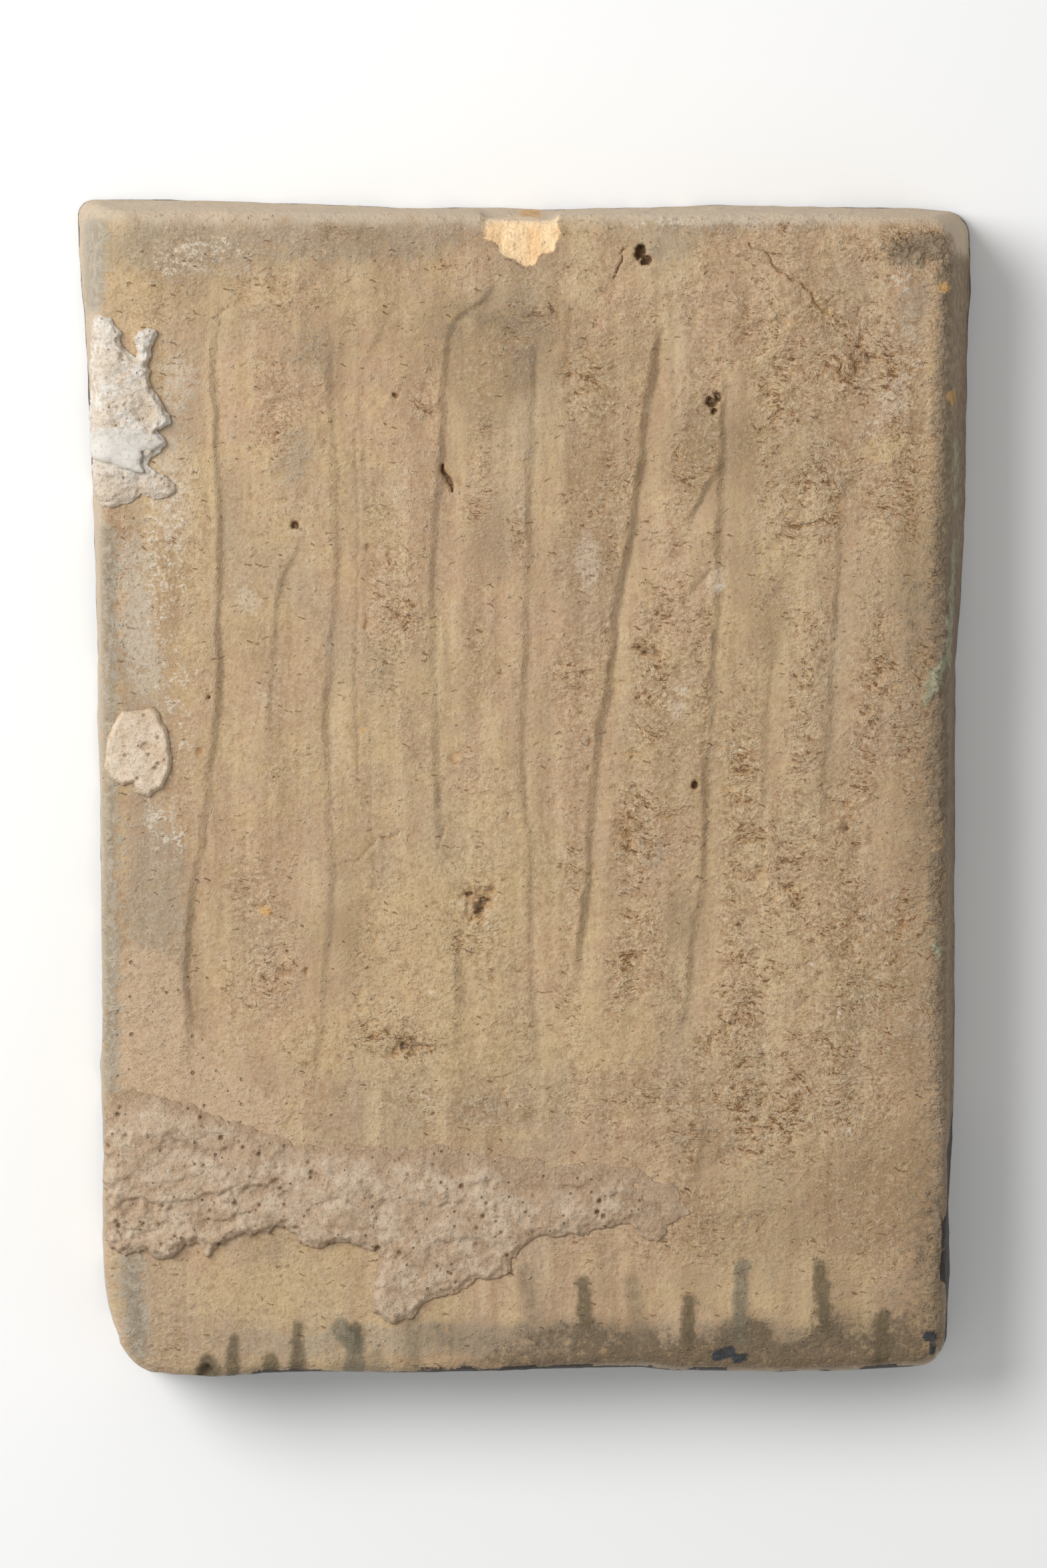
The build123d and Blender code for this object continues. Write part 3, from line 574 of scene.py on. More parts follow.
def hollows(x, y):
    # pits, deep holes and cracks: their depth, and how near the closest one is
    depth = np.zeros(x.shape)
    near = np.full(x.shape, farAway)
    ragged = layered(x, y, (0.30, 1.7, 41), (0.20, 0.9, 42))
    for markX, markY, halfWidth, halfHeight, deep in tileMarks["pits"]:
        away = ovalAway(x, y, markX, markY, halfWidth, halfHeight) * (1.0 + 0.3 * lumps(x, y, 2.4, 43)) + ragged
        depth = np.maximum(depth, deep * (1.0 - smoothStep(0.15, 1.0, away)) * (0.7 + 0.5 * lumps(x, y, 1.6, 44)))
        near = np.minimum(near, (away - 1.1) * min(halfWidth, halfHeight))
    for markX, markY, halfWidth, halfHeight, deep in tileMarks["holes"]:
        away = ovalAway(x, y, markX, markY, halfWidth + 0.3, halfHeight + 0.3) + 0.9 * ragged
        depth = np.maximum(depth, deep * (1.0 - smoothStep(0.45, 1.0, away)))
        near = np.minimum(near, (away - 1.3) * 1.2)
    for number, (points, width, deep) in enumerate(tileMarks["cracks"]):
        cut, nearest = crackDepth(x, y, points, 0.66 * width + 0.12, deep, 300 + 4 * number)
        depth = np.maximum(depth, cut)
        near = np.minimum(near, nearest - (1.0 if deep > 0.29 else 0.5))
    return depth, near


def runField(x, y, name):
    # distance in from the rim of the glaze runs of one kind
    field = np.full(x.shape, -fieldReach)
    for start, end, halfWidth in glazeRuns[name]:
        field = np.maximum(field, halfWidth - awayFromRun(x, y, start, end))
    return np.clip(field, -fieldReach, fieldReach)


def dripField(x, y, *kinds):
    field = np.full(x.shape, -fieldReach)
    for number, (start, end, halfWidth, kind) in enumerate(tileMarks["drips"]):
        if kind in kinds:
            # a drip is wider at its foot, where it left the tile's edge
            wide = halfWidth * (1.0 + 0.55 * smoothStep(-153.5, -160.5, y) + 0.22 * lumps(x, y, 3.5, 80 + number))
            away = awayFromRun(x + 0.35 * lumps(x, y, 3.0, 60 + number), y, start, end)
            field = np.maximum(field, wide - away)
    return np.clip(field, -fieldReach, fieldReach)


def relief(x, y):
    # height of the worked surface over the flat back
    height = layered(x, y, (0.28, 48.0, 11), (0.14, 19.0, 12), (0.05, 7.0, 13))
    drawn = smoothStep(-98.0, -60.0, y) * smoothStep(150.0, 120.0, y)
    height = height + drawn * (0.05 * lumps(x * 7.0, y * 0.22, 9.0, 14) + 0.42 * lumps(x * 2.2, y * 0.30, 16.0, 18))
    for cut, fade, past, drop, wall in furrowCuts(x, y):
        height = height - cut
    rough = 0.10 + tornShare(x, y) + 0.30 * smoothStep(92.0, 128.0, y)
    clods = layered(x, y * 1.5, (0.44, 6.0, 15), (0.46, 3.1, 16)) + 0.20 * lumps(x, y, 1.7, 17)
    height = height + rough * clods - hollows(x, y)[0]
    chip = insideBy(x + 0.5 * lumps(x, y, 2.2, 51), y + 0.6 * lumps(x, y, 2.5, 52), tileMarks["chip"])
    scars = 0.16 * lumps(x * 3.0, y * 0.35, 4.5, 53) + 0.12 * lumps(x, y, 2.0, 54)
    height = height - smoothStep(-0.2, 1.0, chip) * (0.55 + 0.06 * np.clip(chip, 0.0, 8.0) + scars)
    height = height + 0.5 * smoothStep(-0.9, 0.5, runField(x, y, "paleGlaze"))
    height = height + 0.10 * smoothStep(-0.6, 0.4, dripField(x, y, "olive", "teal"))
    # a bead of clay in the ring pit at the upper right
    bead = smoothStep(0.0, 2.5, 3.0 - np.hypot(x - 90.8, y - 118.8))
    height = height + 0.35 * bead * (1.0 + lumps(x, y, 2.0, 55))
    washed = insideBy(x + 1.2 * lumps(x, y, 5.0, 56), y + 1.2 * lumps(x, y, 5.0, 57), tileMarks["wash"])
    height = height + 0.28 * smoothStep(-0.3, 1.2, washed)
    notchX, notchY = tileShape["notch"]
    notch = ovalAway(x, y, notchX, notchY, 2.3, 2.6) + 0.2 * lumps(x, y, 1.5, 58)
    return height - tileShape["notchDepth"] * (1.0 - smoothStep(0.5, 1.0, notch))


def needsDetail(x, y):
    # where the mesh is refined: ridge walls, pits, cracks, the chip's rim, the notch and the glaze runs
    fine = hollows(x, y)[1] < 0.2
    for cut, fade, past, drop, wall in furrowCuts(x, y):
        fine |= (past > -1.0) & (past < 1.25 * wall + 0.5) & (fade * drop > 0.25)
    fine |= np.abs(insideBy(x, y, tileMarks["chip"])) < 1.6
    fine |= np.abs(runField(x, y, "paleGlaze") + 0.3) < 0.9
    notchX, notchY = tileShape["notch"]
    fine |= np.hypot(x - notchX, y - notchY - 0.8) < 4.0
    return fine


def buildTile():
    thickness, arris, arrisSteps = tileShape["thickness"], tileShape["arris"], tileShape["arrisSteps"]
    startClean()
    bpy.ops.mesh.primitive_grid_add(x_subdivisions=tileShape["columns"], y_subdivisions=tileShape["rows"], size=2.0)
    tile = bpy.context.object
    tile.name = "paintedTile"
    # refine the grid where the surface has fine forms, then once more in the deepest holes
    for level in range(2):
        middles = faceMiddles(tile)
        x, y = planPlace(middles[:, 0], middles[:, 1], thickness, arris)
        if level == 0:
            chosen = needsDetail(x, y)
        else:
            depth, near = hollows(x, y)
            chosen = (depth > 0.75) & (near < -0.1)
        editFaces(tile, chosen)
        bpy.ops.mesh.subdivide(number_cuts=1, ngon=False)
        bpy.ops.object.mode_set(mode="OBJECT")
        print("tile refined", level, int(chosen.sum()), "faces; now", len(tile.data.polygons))
    # the rounded arris, the side and the face's small arris are rings drawn out from the grid's rim
    rings = [(thickness, arris)]
    for step in range(1, arrisSteps + 1):
        turn = math.radians(90.0 * step / arrisSteps)
        rings.append((thickness - arris * (1.0 - math.cos(turn)), arris * (1.0 - math.sin(turn))))
    rings += [(height, 0.0) for height in tileShape["sideHeights"]]
    rings += [(tileShape["faceArris"], 0.0), (0.35, 0.3), (0.0, tileShape["faceArris"])]
    bpy.ops.object.mode_set(mode="EDIT")
    selectRim()
    extrudeDown(len(rings) - 1)
    return tile, np.array(rings)


def shapeTile(tile, rings):
    thickness, arris = tileShape["thickness"], tileShape["arris"]
    across, along, depth = readPoints(tile).T
    ring = np.rint(-depth).astype(int)
    heights, insets = rings[ring].T
    onArris = np.clip(1.0 - (thickness - heights) / arris, 0.0, 1.0)
    # the arris is worn unevenly along its length
    guessX, guessY = across * tileShape["halfAcross"], along * tileShape["halfAlong"]
    worn = 1.0 + layered(guessX, guessY, (0.28, 24.0, 71), (0.16, 9.0, 72))
    insets = np.where(heights > tileShape["faceArris"], insets * worn, insets)
    heights = np.where(onArris > 0.0, thickness - (thickness - heights) * worn, heights)
    x, y = planPlace(across, along, heights, insets)
    # hand-pressed sides are never quite flat
    atSide = ring > 0
    outX, outY = (np.where(np.abs(share) > 0.999, np.sign(share), 0.0) for share in (across, along))
    run = np.where(outX != 0.0, y, x)
    bulge = layered(run, heights, (0.30, 14.0, 73), (0.16, 5.0, 74), (0.09, 2.2, 75))
    bulge = np.where(atSide, bulge * smoothStep(0.0, 2.0, heights) * (1.0 - 0.6 * onArris), 0.0)
    out = np.where((outX != 0.0) & (outY != 0.0), 0.7, 1.0) * (bulge - 0.3 * atSide)
    x, y = x + outX * out, y + outY * out
    z = heights + relief(x, y) * np.where(ring == 0, 1.0, onArris)
    # the chip also takes a flake off the arris and the top side
    flake = smoothStep(-0.5, 1.5, insideBy(x, np.full(x.shape, 158.0), tileMarks["chip"]))
    flake = flake * smoothStep(155.0, 161.0, y) * smoothStep(8.0, 26.0, heights)
    y = y - 1.3 * flake
    z = z - 0.8 * flake * onArris
    writePoints(tile, x * mm, y * mm, z * mm)
    return x, y, z, ring, heights


def paintTile(tile, x, y, z, ring, heights):
    side = np.where(ring > 0, smoothStep(35.7, 33.2, heights), 0.0)
    side = np.where(ring >= tileShape["arrisSteps"], 1.0, side)
    # the top margin is worn pale
    side = np.maximum(side, 0.85 * smoothStep(156.5, 160.5, y + 1.4 * lumps(x, y, 6.0, 83)))
    # the right side takes the dark glaze colour all the way down
    rightSide = smoothStep(116.0, 119.0, x) * smoothStep(153.0, 145.0, y)
    paint(tile, "torn", tornShare(x, y))
    paint(tile, "side", side * (1.0 - 0.80 * rightSide))
    # the depth of the pits, holes and cracks, which the material turns into painted shade
    paint(tile, "hollow", np.where(ring == 0, hollows(x, y)[0], 0.0))
    wobbleX, wobbleY = x + 1.5 * lumps(x, y, 6.0, 81), y + 1.5 * lumps(x, y, 6.0, 82)
    for name in ("warm", "pink", "grey", "dark", "shadeAndGrime", "haze", "lime", "chalk"):
        paint(tile, name, softMarks(wobbleX, wobbleY, tileMarks[name]))
    for kind in ("olive", "teal", "faint"):
        paint(tile, kind + "Drip", dripField(x, y, kind))
    for name in glazeRuns:
        field = runField(x, y, name)
        if name == "darkGlaze":
            field = np.maximum(field, np.where(ring > 0, 5.0 * rightSide - 2.5, -2.5))
        paint(tile, name, field)
    # the chip ends raggedly a little way down the side
    lowered = 7.0 * smoothStep(31.0, 24.0, heights + 2.0 * lumps(x, heights, 5.0, 87))
    paint(tile, "chip", np.clip(insideBy(x, y, tileMarks["chip"]) - lowered, -3.0, 3.0))
    paint(tile, "wash", np.clip(insideBy(x, y, tileMarks["wash"]), -fieldReach, fieldReach))
    # a near-black band up the sides from the painted face, low all round and drawn up nearly to the back along the
    # bottom edge and the lower right side
    creep = 3.0 + waved(x + y, (2.2, 13.0, 91), (1.2, 4.0, 92))
    runs = smoothStep(-14.0, 6.0, x) + smoothStep(-104.0, -98.0, x) * smoothStep(-80.0, -86.0, x)
    bottom = smoothStep(-94.0, -86.0, x) * (1.0 - runs) + runs * (1.0 + waved(x, (0.16, 9.0, 93)))
    creep = creep + np.where(y < -159.0, 3.0 + 28.0 * bottom, 0.0)
    lower = smoothStep(-88.0, -104.0, y) * np.where(x > 116.0, 1.0, 0.0)
    creep = creep + 29.0 * lower * (1.0 + waved(y, (0.20, 7.0, 94)))
    paint(tile, "darkEdgeBand", np.where(ring > 0, np.clip(creep - z, -fieldReach, fieldReach), -fieldReach))


# Material wiring, kept short so that each finish reads as a recipe. The nodes go into the material
# begun last, and its colour is laid on in layers.
wiring = {}


def beginMaterial(name):
    material = bpy.data.materials.new(name)
    material.use_nodes = True
    wiring["tree"] = material.node_tree
    wiring["shader"] = material.node_tree.nodes["Principled BSDF"]
    return material


def plug(node, inputs):
    for key, value in inputs.items():
        if isinstance(value, bpy.types.NodeSocket):
            wiring["tree"].links.new(value, node.inputs[key])
        else:
            node.inputs[key].default_value = value


def addNode(kind, inputs, **options):
    node = wiring["tree"].nodes.new("ShaderNode" + kind)
    for name, value in options.items():
        setattr(node, name, value)
    plug(node, inputs)
    return node


def calc(operation, *values, clamp=False):
    return addNode("Math", dict(enumerate(values)), operation=operation, use_clamp=clamp).outputs[0]


def times(first, second):
    return calc("MULTIPLY", first, second)


def timesPlus(first, second, third):
    return calc("MULTIPLY_ADD", first, second, third)


def minus(first, second):
    return calc("SUBTRACT", first, second)


def vector(operation, first, second):
    second = {("Scale" if operation == "SCALE" else 1): second}
    return addNode("VectorMath", {0: first, **second}, operation=operation).outputs[0]


def turned(place, angle):
    return addNode("VectorRotate", {"Vector": place, "Angle": angle}, rotation_type="Z_AXIS").outputs[0]


def stepBetween(value, low, high):
    node = addNode("MapRange", {"Value": value, "From Min": low, "From Max": high}, interpolation_type="SMOOTHSTEP")
    return node.outputs["Result"]


def tint(share, under, over):
    return addNode("Mix", {0: share, 6: under, 7: over}, data_type="RGBA").outputs[2]


def lay(share, over):
    # another layer of colour over what is there
    wiring["body"] = tint(share, wiring["body"], over)


def layWhere(field, low, high, strength, over):
    lay(times(stepBetween(field, low, high), strength), over)


def colour(red, green, blue):
    # a colour as a painter's 0 to 255 values
    def linear(value):
        value = value / 255.0
        return value / 12.92 if value <= 0.04045 else ((value + 0.055) / 1.055) ** 2.4
    return (linear(red), linear(green), linear(blue), 1.0)


def coloursOf(finish):
    return {name: colour(*value) for name, value in finish["colours"].items()}


def surfacePlace():
    return vector("SCALE", addNode("TexCoord", {}).outputs["Object"], 1.0 / mm)


def noise(place, size, detail=2.0, roughness=0.5, stretch=None):
    if stretch:
        place = vector("MULTIPLY", place, stretch)
    node = addNode("TexNoise", {"Vector": place, "Scale": 1.0 / size, "Detail": detail, "Roughness": roughness})
    return node.outputs["Fac"]


def noises(place, settings):
    return {name: noise(place, *values) for name, values in settings.items()}


def painted(name):
    return addNode("Attribute", {}, attribute_name=name).outputs["Fac"]


def poreMarks(place, spacing, power, spread, least, rims, **options):
    # round pores, one in each cell and most of them small
    cells = addNode("TexVoronoi", {"Vector": place, "Scale": 1.0 / spacing, "Randomness": 1.0}, **options)
    size = addNode("SeparateColor", {"Color": cells.outputs["Color"]}).outputs[0]
    rim = timesPlus(calc("POWER", size, power), spread, least)
    return stepBetween(calc("DIVIDE", cells.outputs["Distance"], rim), *rims)


def strawMarks(place, share, straw):
    # short strokes left by chopped straw: one in each cell, turned and sized at random
    scaled = vector("SCALE", vector("ADD", place, straw["shift"]), 1.0 / straw["spacing"])
    cells = addNode("TexVoronoi", {"Vector": scaled, "Scale": 1.0, "Randomness": 0.95}, voronoi_dimensions="2D",
                    feature="F1")
    first, second, third = addNode("SeparateColor", {"Color": cells.outputs["Color"]}).outputs[:3]
    turn = timesPlus(first, straw["spread"], straw["slant"] - straw["spread"] / 2.0)
    local = turned(vector("SUBTRACT", scaled, cells.outputs["Position"]), turn)
    along, across = addNode("SeparateXYZ", {"Vector": local}).outputs[:2]
    length, width = straw["length"] / straw["spacing"], straw["width"] / straw["spacing"]
    bent = times(times(along, along), timesPlus(second, 0.6, -0.3))
    u = calc("DIVIDE", along, timesPlus(second, 0.5 * length, 0.2 * length))
    v = calc("DIVIDE", calc("ADD", across, bent), 0.5 * width)
    mark = stepBetween(calc("ADD", times(u, u), times(v, v)), 1.25, 0.45)
    return times(times(mark, calc("LESS_THAN", third, share)), timesPlus(first, 0.65, 0.35))


def finishMaterial(material, raised, roughness, gloss):
    # the built-up colour, with heights in millimetres for the bump
    bump = addNode("Bump", {"Strength": 1.0, "Distance": mm, "Height": raised})
    plug(wiring["shader"], {"Base Color": wiring["body"], "Roughness": roughness, "Specular IOR Level": gloss,
                            "Normal": bump.outputs["Normal"]})
    return material


# Fired clay: colours as 0 to 255 values, sizes in millimetres
clayFinish = {
    "colours": {
        "buff": (186, 159, 124), "pinkish": (186, 155, 124), "yellow": (200, 174, 129),
        "mauvePatch": (178, 150, 122), "greyPatch": (154, 142, 124), "darkPatch": (136, 110, 80),
        "limePatch": (218, 207, 190), "facetPaintedLight": (210, 186, 146), "facetPaintedShade": (158, 132, 100),
        "tornBrown": (168, 132, 94), "fleckDark": (134, 102, 70), "fleckLight": (216, 194, 164),
        "strawHollowShade": (104, 64, 30), "strawPale": (214, 188, 146), "hollowHalo": (184, 140, 90),
        "deepHollowShade": (72, 46, 24), "mortarWash": (196, 168, 138), "washPoreShade": (92, 66, 44),
        "freshChip": (253, 220, 174), "chipShade": (236, 196, 146), "mottleLight": (212, 190, 158),
        "mottleDark": (146, 114, 80), "grainLight": (214, 193, 164), "grainDark": (132, 101, 69),
        "shadeAndGrime": (106, 91, 72), "dustySide": (200, 184, 163),
    },
    # size, detail, roughness and stretch of each noise
    "noise": {
        "broad": (42.0, 1.0), "patchy": (9.0, 2.0, 0.65), "mottled": (2.6, 3.0, 0.68), "grain": (1.0, 2.0, 0.7),
        "streaks": (3.2, 2.0, 0.6, (1.0, 0.05, 1.0)), "smudge": (24.0, 1.0, 0.65, (1.0, 0.5, 1.0)),
        "facet": (8.0, 2.0, 0.6, (1.0, 0.13, 1.0)), "chipTone": (4.0, 1.0, 0.6, (1.0, 0.2, 1.0)),
        "chipGroove": (1.2, 1.0, 0.6, (1.0, 0.12, 1.0)), "blister": (1.8, 1.0, 0.6),
    },
    "tornNoise": {
        "clods": (6.5, 2.0, 0.70, (1.0, 1.5, 1.0)), "dashes": (2.4, 2.0, 0.66, (1.0, 2.4, 1.0)),
        "nicks": (1.2, 1.0, 0.6, (1.0, 1.7, 1.0)),
    },
    # tones of the bare clay: noise, from, to, strength, colour. The facet tones are painted light and shade in long
    # bands down the back, for the lit and shaded facets of the wiped surface.
    "tones": [
        ("patchy", 0.50, 0.66, 0.42, "yellow"), ("patchy", 0.48, 0.32, 0.52, "mauvePatch"),
        ("smudge", 0.50, 0.64, 0.30, "greyPatch"), ("facet", 0.50, 0.66, 0.42, "facetPaintedLight"),
        ("facet", 0.50, 0.34, 0.40, "facetPaintedShade"), ("streaks", 0.50, 0.74, 0.10, "limePatch"),
        ("streaks", 0.50, 0.26, 0.22, "darkPatch"),
    ],
    # painted patches: name, colour, strength, edge, how broken up, how whole
    "patches": [
        ("warm", "yellow", 0.50, 0.35, 3.0, 1.0), ("pink", "mauvePatch", 0.70, 0.35, 3.0, 1.0),
        # the grey and dark patches carry painted shade as well as greyer and darker clay
        ("grey", "greyPatch", 0.62, 0.35, 3.0, 1.0), ("dark", "darkPatch", 0.55, 0.35, 3.0, 1.0),
        ("haze", "limePatch", 0.34, 0.35, 3.0, 1.0), ("lime", "limePatch", 0.64, 0.16, 12.0, -0.62),
        ("chalk", "limePatch", 0.80, 0.3, 2.5, 1.0),
    ],
    # painted shade with some grime, towards the right and bottom edges
    "shadeAndGrimePatch": ("shadeAndGrime", "shadeAndGrime", 0.88, 0.42, 2.2, 1.0),
    # grains and mottling over everything: noise, from, to, strength, colour
    "grains": [
        ("mottled", 0.50, 0.70, 0.60, "mottleLight"), ("mottled", 0.50, 0.31, 0.55, "mottleDark"),
        ("grain", 0.53, 0.66, 0.54, "grainLight"), ("grain", 0.46, 0.31, 0.58, "grainDark"),
    ],
    "straw": {"spacing": 2.9, "length": 2.0, "width": 0.42, "slant": -0.25, "spread": 1.7, "shift": (14.62, 7.54, 0.0)},
    # glazes: colour, strength, raggedness of the rim, softness of the rim, gloss
    "glazes": {
        "mauveGlaze": ((150, 143, 128), 0.68, 11.0, 1.6, 0.3), "darkGlaze": ((126, 110, 90), 0.78, 9.0, 1.8, 0.40),
        "faintDrip": ((132, 117, 94), 0.55, 5.0, 1.4, 0.1), "oliveDrip": ((95, 83, 62), 0.80, 4.0, 1.0, 0.2),
        "tealDrip": ((112, 105, 88), 0.70, 4.0, 1.1, 0.2), "paleGlaze": ((146, 143, 118), 0.78, 3.5, 0.5, 0.8),
        "darkEdgeBand": ((44, 42, 42), 0.92, 6.0, 0.5, 0.9), "blueGlaze": ((48, 54, 60), 0.90, 1.5, 0.35, 0.6),
        "orangeSpot": ((198, 152, 88), 0.65, 3.5, 0.5, 0.0),
    },
}


def clayMaterial():
    material = beginMaterial("firedClay")
    shades = coloursOf(clayFinish)
    place = surfacePlace()
    torn, side = painted("torn"), painted("side")
    flat = minus(1.0, side)

    # ragged coordinates, so that strokes and patches have broken rims
    wobble = addNode("TexNoise", {"Vector": place, "Scale": 1.0 / 1.3, "Detail": 1.0}).outputs["Color"]
    ragged = vector("ADD", place, vector("SCALE", vector("SUBTRACT", wobble, (0.5, 0.5, 0.5)), 1.1))
    field = noises(place, clayFinish["noise"])
    ragFine = minus(field["mottled"], 0.5)
    ragBoth = calc("ADD", ragFine, timesPlus(field["grain"], 0.7, -0.35))

    wiring["body"] = tint(stepBetween(field["broad"], 0.36, 0.66), shades["buff"], shades["pinkish"])
    for name, low, high, strength, shade in clayFinish["tones"]:
        layWhere(field[name], low, high, strength, shades[shade])

    def layPatch(name, shade, strength, edge, broken, whole):
        amount = times(timesPlus(ragBoth, broken, whole), painted(name))
        layWhere(amount, 0.12, 0.12 + edge * 2.0, strength, shades[shade])

    for patch in clayFinish["patches"]:
        layPatch(*patch)

    # straw hollows, strongest where the clay is torn, faint on the sides, none on the fresh chip
    chipped = stepBetween(timesPlus(ragFine, 3.0, painted("chip")), -0.2, 0.5)
    density = times(calc("ADD", torn, 0.02), minus(1.0, chipped))
    sparse = times(density, timesPlus(flat, 0.85, 0.15))
    # torn hollows: ragged and longer across than down, leaning a little with a slow drift
    drift = addNode("TexNoise", {"Vector": place, "Scale": 1.0 / 11.0, "Detail": 0.0}).outputs["Color"]
    leaning = turned(vector("ADD", vector("SCALE", drift, 7.0), ragged), 0.16)
    clods, dashes, nicks = noises(leaning, clayFinish["tornNoise"]).values()
    openness = times(stepBetween(sparse, 0.16, 0.90), stepBetween(clods, 0.58, 0.40))
    cavity = minus(timesPlus(openness, 0.20, 0.250), dashes)
    clumped = times(stepBetween(clods, 0.47, 0.37), 0.11)
    nickShare = calc("ADD", timesPlus(openness, 0.13, 0.195), clumped)
    nickHollow = stepBetween(minus(nickShare, nicks), 0.0, 0.03)
    tornPits = calc("MAXIMUM", stepBetween(cavity, -0.01, 0.045), times(nickHollow, 0.75))
    strewn = timesPlus(stepBetween(field["patchy"], 0.46, 0.60), 0.17, 0.03)
    straw = strawMarks(ragged, timesPlus(clumped, 1.6, timesPlus(openness, 0.36, strewn)), clayFinish["straw"])
    halo = times(stepBetween(cavity, -0.16, 0.0), openness)
    crests = times(stepBetween(dashes, 0.56, 0.68), sparse)
    # torn clay is browner and flecked
    tornShade = stepBetween(sparse, 0.10, 0.75)
    lay(times(openness, 0.34), shades["tornBrown"])
    lay(times(times(stepBetween(nicks, 0.42, 0.35), tornShade), 0.48), shades["fleckDark"])
    lay(times(times(stepBetween(nicks, 0.60, 0.67), tornShade), 0.42), shades["fleckLight"])
    lay(times(halo, 0.55), shades["hollowHalo"])
    lay(times(crests, 0.50), shades["strawPale"])
    # painted shade in the torn pits and the straw hollows
    lay(times(tornPits, 0.66), shades["strawHollowShade"])
    lay(times(straw, 0.72), shades["strawHollowShade"])
    # the pits, holes and cracks: browner where shallow, and painted shade in their depths, darker the deeper they go
    deepField = timesPlus(ragBoth, 1.2, painted("hollow"))
    layWhere(deepField, 0.25, 0.6, 0.45, shades["hollowHalo"])
    layWhere(deepField, 0.60, 1.5, 0.85, shades["deepHollowShade"])

    # the thin wash of mortar at the left, with round pores painted dark as shade
    washed = stepBetween(timesPlus(ragFine, 6.0, painted("wash")), -0.6, 1.6)
    lay(times(washed, 0.75), shades["mortarWash"])
    pore = times(poreMarks(place, 3.4, 5.0, 0.14, 0.026, (1.2, 0.7), voronoi_dimensions="2D"), washed)
    lay(times(pore, 0.62), shades["washPoreShade"])

    lay(chipped, tint(stepBetween(field["chipTone"], 0.35, 0.7), shades["freshChip"], shades["chipShade"]))

    roughShare = timesPlus(tornShade, 0.42, 0.46)
    for name, low, high, strength, shade in clayFinish["grains"]:
        layWhere(field[name], low, high, times(roughShare, strength), shades[shade])
    # painted shade with some grime, darkest along the right and bottom edges
    layPatch(*clayFinish["shadeAndGrimePatch"])

    # sides: dustier and greyer than the back
    lay(times(side, 0.70), shades["dustySide"])

    glossy, covers = 0.0, {}
    for name, (shade, strength, rim, soak, gloss) in clayFinish["glazes"].items():
        covers[name] = times(stepBetween(timesPlus(ragFine, rim, painted(name)), -soak, soak), strength)
        low, high = (tuple(share * part for part in colour(*shade)[:3]) + (1.0,) for share in (0.78, 1.32))
        lay(covers[name], tint(stepBetween(field["mottled"], 0.40, 0.62), low, high))
        glossy = calc("MAXIMUM", times(covers[name], gloss), glossy)
    roughness = timesPlus(minus(field["patchy"], 0.5), 0.12, timesPlus(glossy, -0.45, 0.92))

    raised = times(timesPlus(torn, 0.50, 0.50), ragFine)
    for height, share in ((field["grain"], 0.26), (field["streaks"], 0.10), (straw, -0.22), (tornPits, -0.26),
                          (times(calc("ADD", dashes, minus(clods, 1.0)), sparse), 1.2), (pore, -0.45),
                          (times(covers["darkGlaze"], field["blister"]), 1.5),
                          (times(chipped, field["chipGroove"]), 0.35)):
        raised = timesPlus(height, share, raised)
    return finishMaterial(material, raised, roughness, 0.25)


# Setting mortar and plaster: colours, the bump's height and the share of pores
mortarFinish = {
    "settingMortar": {
        "height": 1.25, "poreShare": 1.0,
        "colours": {"low": (176, 147, 117), "body": (198, 171, 142), "light": (216, 195, 169),
                    "hollow": (122, 90, 62)},
    },
    "upperMortar": {
        "height": 1.1, "poreShare": 0.9,
        "colours": {"low": (198, 175, 148), "body": (221, 207, 188), "light": (236, 229, 218),
                    "hollow": (146, 114, 84)},
    },
    "whitePlaster": {
        "height": 0.16, "poreShare": 0.2,
        "colours": {"low": (188, 179, 166), "body": (206, 199, 189), "light": (217, 212, 204),
                    "hollow": (170, 154, 134)},
    },
    "middleMortar": {
        "height": 0.8, "poreShare": 0.7,
        "colours": {"low": (192, 168, 138), "body": (216, 193, 166), "light": (229, 211, 188),
                    "hollow": (144, 112, 80)},
    },
}


def mortarMaterial(name):
    finish = mortarFinish[name]
    material = beginMaterial(name)
    shades = coloursOf(finish)
    place = surfacePlace()
    patchy, mottled, grain = noise(place, 7.0, 3.0, 0.65), noise(place, 2.2, 5.0, 0.75), noise(place, 0.8, 2.0, 0.7)
    wiring["body"] = tint(stepBetween(patchy, 0.38, 0.64), shades["body"], shades["light"])
    layWhere(mottled, 0.54, 0.34, 0.75, shades["low"])
    lay(times(painted("wearAndShade"), 0.7), shades["low"])
    layWhere(grain, 0.54, 0.68, 0.50, shades["light"])
    layWhere(grain, 0.42, 0.30, 0.50, shades["hollow"])
    # painted shade in the pores and in the hollows of the crust
    pore = poreMarks(place, 1.9, 4.0, 0.22 * finish["poreShare"], 0.02, (1.25, 0.7))
    lay(times(pore, 0.7), shades["hollow"])
    lay(times(painted("hollow"), 0.75), shades["hollow"])
    raised = timesPlus(grain, 0.22 * finish["height"], times(mottled, finish["height"]))
    return finishMaterial(material, timesPlus(pore, -0.5 * finish["poreShare"], raised), 0.93, 0.2)


